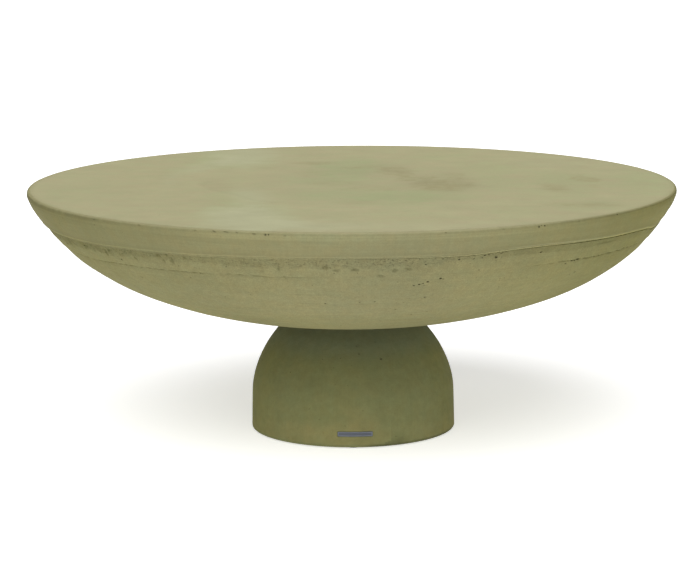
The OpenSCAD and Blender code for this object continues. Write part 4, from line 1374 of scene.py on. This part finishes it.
        # painted sheen: paler and bluer where the reflection lies
        t = g.mix(g.math("MULTIPLY", g.attr("bloom"), 1.0), t, tint((0.99, 1.04, 1.10)))
        t = g.mix(g.math("MULTIPLY", g.attr("tan"), g.remap(edge, 0.34, 0.62, 0.45, 1.15)), t, tint((0.875, 0.852, 0.81)))
        tk = g.math("ADD", 1.0, g.math("MULTIPLY", g.attr("trowel"), 0.048))
        tk = g.math("MULTIPLY", tk, g.remap(mid, 0.3, 0.7, 0.982, 1.018, False))
        tk = g.math("MULTIPLY", tk, g.remap(small, 0.25, 0.75, 0.982, 1.018, False))
        tk = g.math("MULTIPLY", tk, g.remap(arcs, 0.3, 0.7, 0.985, 1.015, False))
        tk = g.math("MULTIPLY", tk, g.remap(sand, 0.3, 0.7, 0.975, 1.025, False))
        tk = g.math("MULTIPLY", tk, g.math("SUBTRACT", 1.0, g.math("MULTIPLY", s2, 0.25)))
        t = g.grey(tk, t)
        sd = g.attr("side")
        col = g.mix(sd, t, side)
        th = g.math("ADD", g.math("MULTIPLY", small, 0.16), g.math("ADD", g.math("MULTIPLY", sand, 0.10), g.math("MULTIPLY", arcs, 0.22)))
        th = g.math("SUBTRACT", th, g.math("MULTIPLY", s2, 0.5))
        mh = nt.nodes.new("ShaderNodeMix")
        mh.data_type = "FLOAT"
        g.put(mh.inputs[0], sd)
        g.put(mh.inputs[2], th)
        g.put(mh.inputs[3], height)
        height = mh.outputs[0]
        rough = g.math("SUBTRACT", rough, g.math("MULTIPLY", g.math("SUBTRACT", 1.0, sd), 0.14))
    else:
        col = side
    if kind == "mortar":
        col = g.grey(0.92, col)
    nt.links.new(col, bsdf.inputs["Base Color"])
    nt.links.new(rough, bsdf.inputs["Roughness"])
    nt.links.new(g.bump(height, 0.0007), bsdf.inputs["Normal"])
    bsdf.inputs["Specular IOR Level"].default_value = 0.12
    return m


def steel(name, base, rough, grain=(900.0, 900.0, 60.0), blotch=0.10, dull=(0.42, 0.43, 0.44)):
    m, nt, bsdf = new_mat(name)
    g = G(nt)
    fine = g.noise(g.scaled(grain), 1.0, 3.0, 0.6)
    cloud = g.noise(g.obj, 60.0, 4.0, 0.6)
    col = g.mix(g.remap(cloud, 0.45, 0.7, 0.0, 0.55), base, dull)
    k = g.remap(fine, 0.3, 0.7, 1 - blotch, 1 + blotch, False)
    k = g.math("MULTIPLY", k, g.math("SUBTRACT", 1.0, g.math("MULTIPLY", g.attr("field"), 0.42)))
    col = g.grey(k, col)
    nt.links.new(col, bsdf.inputs["Base Color"])
    bsdf.inputs["Metallic"].default_value = 1.0
    nt.links.new(g.remap(g.math("ADD", g.math("MULTIPLY", fine, 0.5), g.math("MULTIPLY", cloud, 0.5)), 0.3, 0.7, rough - 0.08, rough + 0.12, False), bsdf.inputs["Roughness"])
    nt.links.new(g.bump(g.math("ADD", fine, g.math("MULTIPLY", cloud, 0.6)), 0.00006), bsdf.inputs["Normal"])
    return m


def zinc(name):
    """Galvanised steel with its spangle."""
    m, nt, bsdf = new_mat(name)
    g = G(nt)
    warp = g.vec("ADD", g.obj, g.vec("SCALE", g.noise(g.obj, 160.0, 2.0, 0.5, colour=True), 0.004))
    v = g.voronoi(warp, 190.0)
    cell = g.sep(v["Color"])
    fine = g.noise(g.obj, 1400.0, 2.0, 0.6)
    cloud = g.noise(g.obj, 45.0, 3.0, 0.6)
    col = g.mix(g.remap(cell[0], 0.1, 0.9), (0.52, 0.54, 0.57), (0.70, 0.72, 0.74))
    col = g.mix(g.remap(cloud, 0.5, 0.75, 0.0, 0.5), col, (0.46, 0.46, 0.45))
    col = g.grey(g.remap(fine, 0.3, 0.7, 0.95, 1.05, False), col)
    nt.links.new(col, bsdf.inputs["Base Color"])
    bsdf.inputs["Metallic"].default_value = 1.0
    nt.links.new(g.remap(cell[1], 0.0, 1.0, 0.34, 0.56, False), bsdf.inputs["Roughness"])
    nt.links.new(g.bump(g.math("ADD", fine, g.math("MULTIPLY", cell[2], 0.8)), 0.00005), bsdf.inputs["Normal"])
    return m


def rubber(name, base=(0.020, 0.020, 0.021), dust=(0.075, 0.072, 0.060)):
    m, nt, bsdf = new_mat(name)
    g = G(nt)
    cloud = g.noise(g.obj, 70.0, 4.0, 0.6)
    fine = g.noise(g.obj, 1500.0, 2.0, 0.6)
    col = g.mix(g.remap(cloud, 0.5, 0.75, 0.0, 0.6), base, dust)
    col = g.grey(g.remap(fine, 0.3, 0.7, 0.9, 1.1, False), col)
    nt.links.new(col, bsdf.inputs["Base Color"])
    nt.links.new(g.remap(cloud, 0.3, 0.7, 0.62, 0.82, False), bsdf.inputs["Roughness"])
    nt.links.new(g.bump(g.math("ADD", fine, cloud), 0.00012), bsdf.inputs["Normal"])
    return m


def foam(name):
    m, nt, bsdf = new_mat(name)
    g = G(nt)
    v = g.voronoi(g.obj, 260.0)
    cell = g.sep(v["Color"])[0]
    col = g.mix(g.remap(cell, 0.0, 1.0), (0.80, 0.80, 0.79), (0.88, 0.88, 0.87))
    col = g.mix(g.remap(v["Distance"], 0.35, 0.6, 0.0, 0.6), col, (0.66, 0.66, 0.65))
    nt.links.new(col, bsdf.inputs["Base Color"])
    bsdf.inputs["Roughness"].default_value = 0.85
    h = g.math("SUBTRACT", 1.0, g.math("MULTIPLY", v["Distance"], v["Distance"]))
    nt.links.new(g.bump(h, 0.0012), bsdf.inputs["Normal"])
    return m


# ---------------------------------------------------------------- make the object
M_TOP = concrete("concrete_trowelled", "top")
M_BOWL = concrete("concrete_cast", "bowl")
M_PED = concrete("concrete_pedestal", "pedestal")
M_MORTAR = concrete("mortar", "mortar")
M_ZINC = zinc("zinc_steel")
M_PLATE = steel("nameplate_steel", (0.185, 0.200, 0.238), 0.40, (70.0, 70.0, 2600.0), 0.10, (0.150, 0.164, 0.200))
M_RUBBER = rubber("rubber")
M_GLUE = rubber("adhesive", (0.10, 0.10, 0.10), (0.16, 0.16, 0.155))
M_FOAM = foam("foam")

slab_me = main_body(cut(tabletop(), slab_pits(), "tabletop", 50))
top = add("tabletop", slab_me, M_TOP, "tabletop_slab")

bowl_me = main_body(cut(bowl(), bowl_pits(), "bowl", 45))
anchor = cyl(95.0, SOCKET_TOP, SOCKET_TOP + PLATE_T, 128)
holes = joined([(cyl(12.0, SOCKET_TOP - 2, SOCKET_TOP + PLATE_T + 2, 32), Matrix.Rotation(math.radians(90 * i), 4, "Z") @ Matrix.Translation((65 * MM, 0, 0))) for i in range(4)], "holes")
anchor = cut(anchor, holes, "anchor_void", 30)
bowl_me = cut(bowl_me, anchor, "bowl", 45)
hexes = joined([(cyl(19 / 2 / math.cos(math.radians(30)), LANDING_Z - 2, SOCKET_TOP + 1, 6), m) for m in bolt_places()], "hexes")
bowl_me = cut(bowl_me, hexes, "bowl", 45)
bowl_ob = add("bowl", bowl_me, M_BOWL, "bowl_shell")

joint = add("seam_joint", mortar(), M_MORTAR, "seam_mortar")

ped_me = main_body(cut(pedestal(), pedestal_pits(), "pedestal", 45))
ped_me = cut(ped_me, box_mesh(-HOLLOW_W / 2, -HOLLOW_W / 2, FOOT_Z - 5, HOLLOW_W / 2, HOLLOW_W / 2, CEIL_Z), "pedestal", 45)
ped_me = cut(ped_me, joined([(cyl(7.0, CEIL_Z - 2, SEAT_Z + 2, 48), m) for m in bolt_places()], "holes"), "pedestal", 45)
ped_me = cut(ped_me, joined([(cyl(13.0, FOOT_Z - 3, FOOT_Z + 3, 64), m) for m in pad_places()], "recess"), "pedestal", 45)
ped_me = cut(ped_me, plate_sector(wall_at(PLATE_Z) - 0.9, wall_at(PLATE_Z) + 4, PLATE_L / 2 + 0.5, PLATE_H / 2 + 0.5, PLATE_Z, 1.3), "pedestal", 45)
ped = add("pedestal", ped_me, M_PED, "pedestal_shell")

# nameplate, bare and brushed
plate = add("nameplate_strip", plate_sector(wall_at(PLATE_Z) - 0.6, wall_at(PLATE_Z) + 0.4, PLATE_L / 2, PLATE_H / 2, PLATE_Z, 0.9, bevel=0.22),
            M_PLATE, "nameplate")

# rubber floor pads with a rounded rim and a grooved sole
pad = disc_part([(0, 4.5), (12.3, 4.5), (12.8, 4.2), (12.95, 3.6), (12.95, 1.2), (12.7, 0.5), (12.1, 0.08), (11.6, 0.0), (9.4, 0.0), (9.2, 0.35), (8.4, 0.35),
                 (8.2, 0.0), (5.8, 0.0), (5.6, 0.35), (4.8, 0.35), (4.6, 0.0), (0, 0.0)], 96, "pad", 35)
pads = add("floor_pad_set", joined([(pad, m) for m in pad_places()], "floor_pad_set"), M_RUBBER, "floor_pads")
for me in (pads.data,):
    me.shade_smooth()
    me.set_sharp_from_angle(angle=math.radians(35))


def hex_bolt():
    """M12 hexagon bolt with chamfered head and a rolled thread."""
    bm = bmesh.new()
    head_z, head_h, af = 132.0, 7.5, 18.0
    ro = af / 2 / math.cos(math.radians(30))
    n = 72
    # head: hexagon prism met by a cone at the lower end, and a washer face above
    def hexr(a):
        a = (math.degrees(a) + 30) % 60 - 30
        return af / 2 / math.cos(math.radians(a))
    rows = []
    rows.append([(af / 2 * 0.93 * 1.0, head_z) for _ in range(n)])
    rows.append([(af / 2 * 0.96, head_z - 0.5) for _ in range(n)])
    rows.append([(hexr(2 * math.pi * k / n), head_z - 0.5) for k in range(n)])
    low = []
    for k in range(n):
        r = hexr(2 * math.pi * k / n)
        low.append((r, head_z - head_h + 0.25 + (r - af / 2 * 0.985) * 0.58))
    rows.append(low)
    rows.append([(af / 2 * 0.95, head_z - head_h) for _ in range(n)])
    turn = math.radians(30)
    verts = [[bm.verts.new((r * math.cos(2 * math.pi * k / n + turn) * MM, r * math.sin(2 * math.pi * k / n + turn) * MM, z * MM)) for k, (r, z) in enumerate(row)] for row in rows]
    for a, b in zip(verts[:-1], verts[1:]):
        for k in range(n):
            bm.faces.new((a[k], b[k], b[(k + 1) % n], a[(k + 1) % n]))
    c = bm.verts.new((0, 0, (head_z - head_h) * MM))
    for k in range(n):
        bm.faces.new((verts[-1][k], c, verts[-1][(k + 1) % n]))
    # shank and thread, joined to the washer face
    pitch, major, minor = 1.75, 5.95, 5.10
    m = 36
    prev = verts[0][::2]
    ring0 = verts[0]
    # neck under the head, then the threads, all at the head's count
    neck = [bm.verts.new((6.3 * math.cos(2 * math.pi * k / n + turn) * MM, 6.3 * math.sin(2 * math.pi * k / n + turn) * MM, head_z * MM)) for k in range(n)]
    for k in range(n):
        bm.faces.new((neck[k], ring0[k], ring0[(k + 1) % n], neck[(k + 1) % n]))
    sh = [bm.verts.new((5.9 * math.cos(2 * math.pi * k / n + turn) * MM, 5.9 * math.sin(2 * math.pi * k / n + turn) * MM, (head_z + 0.6) * MM)) for k in range(n)]
    for k in range(n):
        bm.faces.new((sh[k], neck[k], neck[(k + 1) % n], sh[(k + 1) % n]))
    last = sh
    z0, z1 = head_z + 30.0, head_z + 75.0
    zs = [head_z + 10, head_z + 20, z0 - 2]
    step = pitch / 6
    z = z0
    while z < z1 - 1.6:
        zs.append(z)
        z += step
    for z in zs:
        ring = []
        for k in range(n):
            a = 2 * math.pi * k / n
            if z < z0:
                r = 5.9
            else:
                ph = ((z - z0) / pitch - k / n) % 1.0
                tri = 1 - abs(2 * ph - 1)
                r = minor + (major - minor) * min(1.0, max(0.0, (tri - 0.12) * 1.45))
                r = 5.9 + (r - 5.9) * min(1.0, (z - z0) / 2.0)
                r = min(r, 4.9 + (z1 - z) * 0.62)
            ring.append(bm.verts.new((r * math.cos(a + turn) * MM, r * math.sin(a + turn) * MM, z * MM)))
        for k in range(n):
            bm.faces.new((ring[k], last[k], last[(k + 1) % n], ring[(k + 1) % n]))
        last = ring
    tip = [bm.verts.new((4.5 * math.cos(2 * math.pi * k / n + turn) * MM, 4.5 * math.sin(2 * math.pi * k / n + turn) * MM, z1 * MM)) for k in range(n)]
    for k in range(n):
        bm.faces.new((tip[k], last[k], last[(k + 1) % n], tip[(k + 1) % n]))
    c = bm.verts.new((0, 0, z1 * MM))
    for k in range(n):
        bm.faces.new((tip[k], tip[(k + 1) % n], c))
    bmesh.ops.recalc_face_normals(bm, faces=bm.faces)
    me = bpy.data.meshes.new("bolt")
    bm.to_mesh(me)
    bm.free()
    return me


def finish_metal(me, angle=30):
    me.shade_smooth()
    me.set_sharp_from_angle(angle=math.radians(angle))
    return me


bolts = add("hex_bolts", finish_metal(joined([(hex_bolt(), m) for m in bolt_places()], "hex_bolts")), M_ZINC, "fixing_bolts")

washer = disc_part([(6.5, 136.8), (6.8, 137.0), (11.7, 137.0), (12.0, 136.7), (12.0, 134.8), (11.7, 134.5), (6.8, 134.5), (6.5, 134.7)], 72, "washer", 40, True)
washers = add("plain_washers", finish_metal(joined([(washer, m) for m in bolt_places()], "plain_washers")), M_ZINC, "flat_washers")


def split_washer():
    """Spring washer: one turn of a square wire with a slanted split."""
    bm = bmesh.new()
    n, gap = 80, 10.5
    rings = []
    for k in range(n + 1):
        a = math.radians(gap + (360 - 2 * gap) * k / n)
        lift = 0.0
        ring = []
        for r, z in ((6.25, 0.12), (6.4, 0.0), (10.35, 0.0), (10.5, 0.12), (10.5, 2.38), (10.35, 2.5), (6.4, 2.5), (6.25, 2.38)):
            slant = math.radians(4.0) * ((z - 1.25) / 1.25) * (1 if k in (0, n) else 0)
            ring.append(bm.verts.new((r * math.cos(a + slant) * MM, r * math.sin(a + slant) * MM, (132.0 + z + lift) * MM)))
        rings.append(ring)
    for a, b in zip(rings[:-1], rings[1:]):
        for i in range(8):
            bm.faces.new((a[i], a[(i + 1) % 8], b[(i + 1) % 8], b[i]))
    bm.faces.new(rings[0])
    bm.faces.new(rings[-1][::-1])
    bmesh.ops.recalc_face_normals(bm, faces=bm.faces)
    me = bpy.data.meshes.new("spring_washer")
    bm.to_mesh(me)
    bm.free()
    me.transform(Matrix.Rotation(math.radians(45), 4, "Z"))
    return me


springs = add("spring_washers", finish_metal(joined([(split_washer(), m) for m in bolt_places()], "spring_washers")), M_ZINC, "lock_washers")


def clamp():
    """Square plate with cut corners, broken edges and five holes."""
    half, rc, n = CLAMP_W / 2, CLAMP_W * 0.65, 192
    s = Skin()

    def rad(inset):
        a = np.radians(np.arange(n) * 360.0 / n)
        sq = (half - inset) / np.maximum(np.abs(np.sin(a)), np.abs(np.cos(a)))
        return np.minimum(sq, rc - inset)
    top_, bot = CLAMP_Z + PLATE_T, CLAMP_Z
    s.ring(1, 0, top_)
    s.ring(24, 24, top_)
    s.ring(48, 45, top_)
    s.ring(96, 60, top_)
    s.ring(n, rad(0.6), top_)
    s.ring(n, rad(0.0), top_ - 0.6)
    s.ring(n, rad(0.0), bot + 0.6)
    s.ring(n, rad(0.6), bot)
    s.ring(96, 60, bot)
    s.ring(48, 45, bot)
    s.ring(24, 24, bot)
    s.ring(1, 0, bot)
    me = s.mesh("clamp", 30)
    holes = [(cyl(25.0, bot - 2, top_ + 2, 96), Matrix())] + [(cyl(7.0, bot - 2, top_ + 2, 48), m) for m in bolt_places()]
    return cut(me, joined(holes, "clamp_holes"), "clamp_plate_square", 30)


plate2 = add("clamp_plate_square", clamp(), M_ZINC, "clamp_plate")

# CAD nodes that stay get their finish
for node, mat in (("foam_core", M_FOAM), ("anchor_plate", M_ZINC), ("anchor_sockets", M_ZINC),
                  ("seat_gasket", M_RUBBER), ("nameplate_adhesive", M_GLUE)):
    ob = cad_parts[node]
    if not ob.material_slots:
        ob.data.materials.append(mat)
    for sl in ob.material_slots:
        sl.material = mat

# ---------------------------------------------------------------- stage, light, camera
FLOOR_GLOW = 0.55


def floor():
    bm = bmesh.new()
    n = 96
    rings = []
    for r in (0.6, 2.0, 6.0, 20.0, 70.0):
        rings.append([bm.verts.new((r * math.cos(2 * math.pi * k / n), r * math.sin(2 * math.pi * k / n), 0.0)) for k in range(n)])
    bm.faces.new(rings[0])
    for a, b in zip(rings[:-1], rings[1:]):
        for k in range(n):
            bm.faces.new((a[k], b[k], b[(k + 1) % n], a[(k + 1) % n]))
    bmesh.ops.recalc_face_normals(bm, faces=bm.faces)
    me = bpy.data.meshes.new("floor")
    bm.to_mesh(me)
    bm.free()
    ob = bpy.data.objects.new("floor", me)
    scene.collection.objects.link(ob)
    m, nt, bsdf = new_mat("floor_white")
    bsdf.inputs["Base Color"].default_value = (0.93, 0.93, 0.925, 1)
    bsdf.inputs["Roughness"].default_value = 0.9
    bsdf.inputs["Specular IOR Level"].default_value = 0.1
    bsdf.inputs["Emission Color"].default_value = (1, 1, 1, 1)
    bsdf.inputs["Emission Strength"].default_value = FLOOR_GLOW
    me.materials.append(m)
    return ob


floor()

AMBIENT = 0.02
KEY = 2.51
LOBES = [  # azimuth from the front (+ right), elevation, sharpness, strength
    (0, 35, 8, 1.32), (55, 25, 4, 0.51), (180, 45, 3, 0.15),
]

world = bpy.data.worlds.new("studio")
scene.world = world
world.use_nodes = True
wt = world.node_tree
wt.nodes.clear()
wo = wt.nodes.new("ShaderNodeOutputWorld")
bg = wt.nodes.new("ShaderNodeBackground")
wt.links.new(bg.outputs[0], wo.inputs[0])
g = G.__new__(G)
g.nt = wt
dirn = wt.nodes.new("ShaderNodeTexCoord").outputs["Generated"]
lvl = AMBIENT
for az, el, sharp, amount in LOBES:
    a, e = math.radians(az), math.radians(el)
    n = wt.nodes.new("ShaderNodeVectorMath")
    n.operation = "DOT_PRODUCT"
    wt.links.new(dirn, n.inputs[0])
    n.inputs[1].default_value = (math.sin(a) * math.cos(e), -math.cos(a) * math.cos(e), math.sin(e))
    lobe = g.math("POWER", g.math("MAXIMUM", n.outputs["Value"], 0.0), float(sharp))
    lvl = g.math("ADD", g.math("MULTIPLY", lobe, amount), lvl)
g.put(bg.inputs["Strength"], lvl)
bg.inputs["Color"].default_value = (1, 1, 1, 1)

sun = bpy.data.lights.new("key", "SUN")
sun.energy = KEY
sun.angle = math.radians(70)
so = bpy.data.objects.new("key", sun)
scene.collection.objects.link(so)
so.rotation_euler = (math.radians(28), math.radians(-10), 0)

cam = bpy.data.cameras.new("camera")
cam.sensor_fit, cam.sensor_width, cam.lens = "HORIZONTAL", 36.0, 131.09
cam.shift_x = -2.6 / 700
cam.clip_end = 200
co = bpy.data.objects.new("camera", cam)
scene.collection.objects.link(co)
co.matrix_world = (Matrix.Translation((0, -3.9125, 0.911)) @ Matrix.Rotation(math.radians(90 - 10.065), 4, "X")
                   @ Matrix.Rotation(math.radians(-0.30), 4, "Z"))
scene.camera = co
scene.view_settings.view_transform = "Standard"
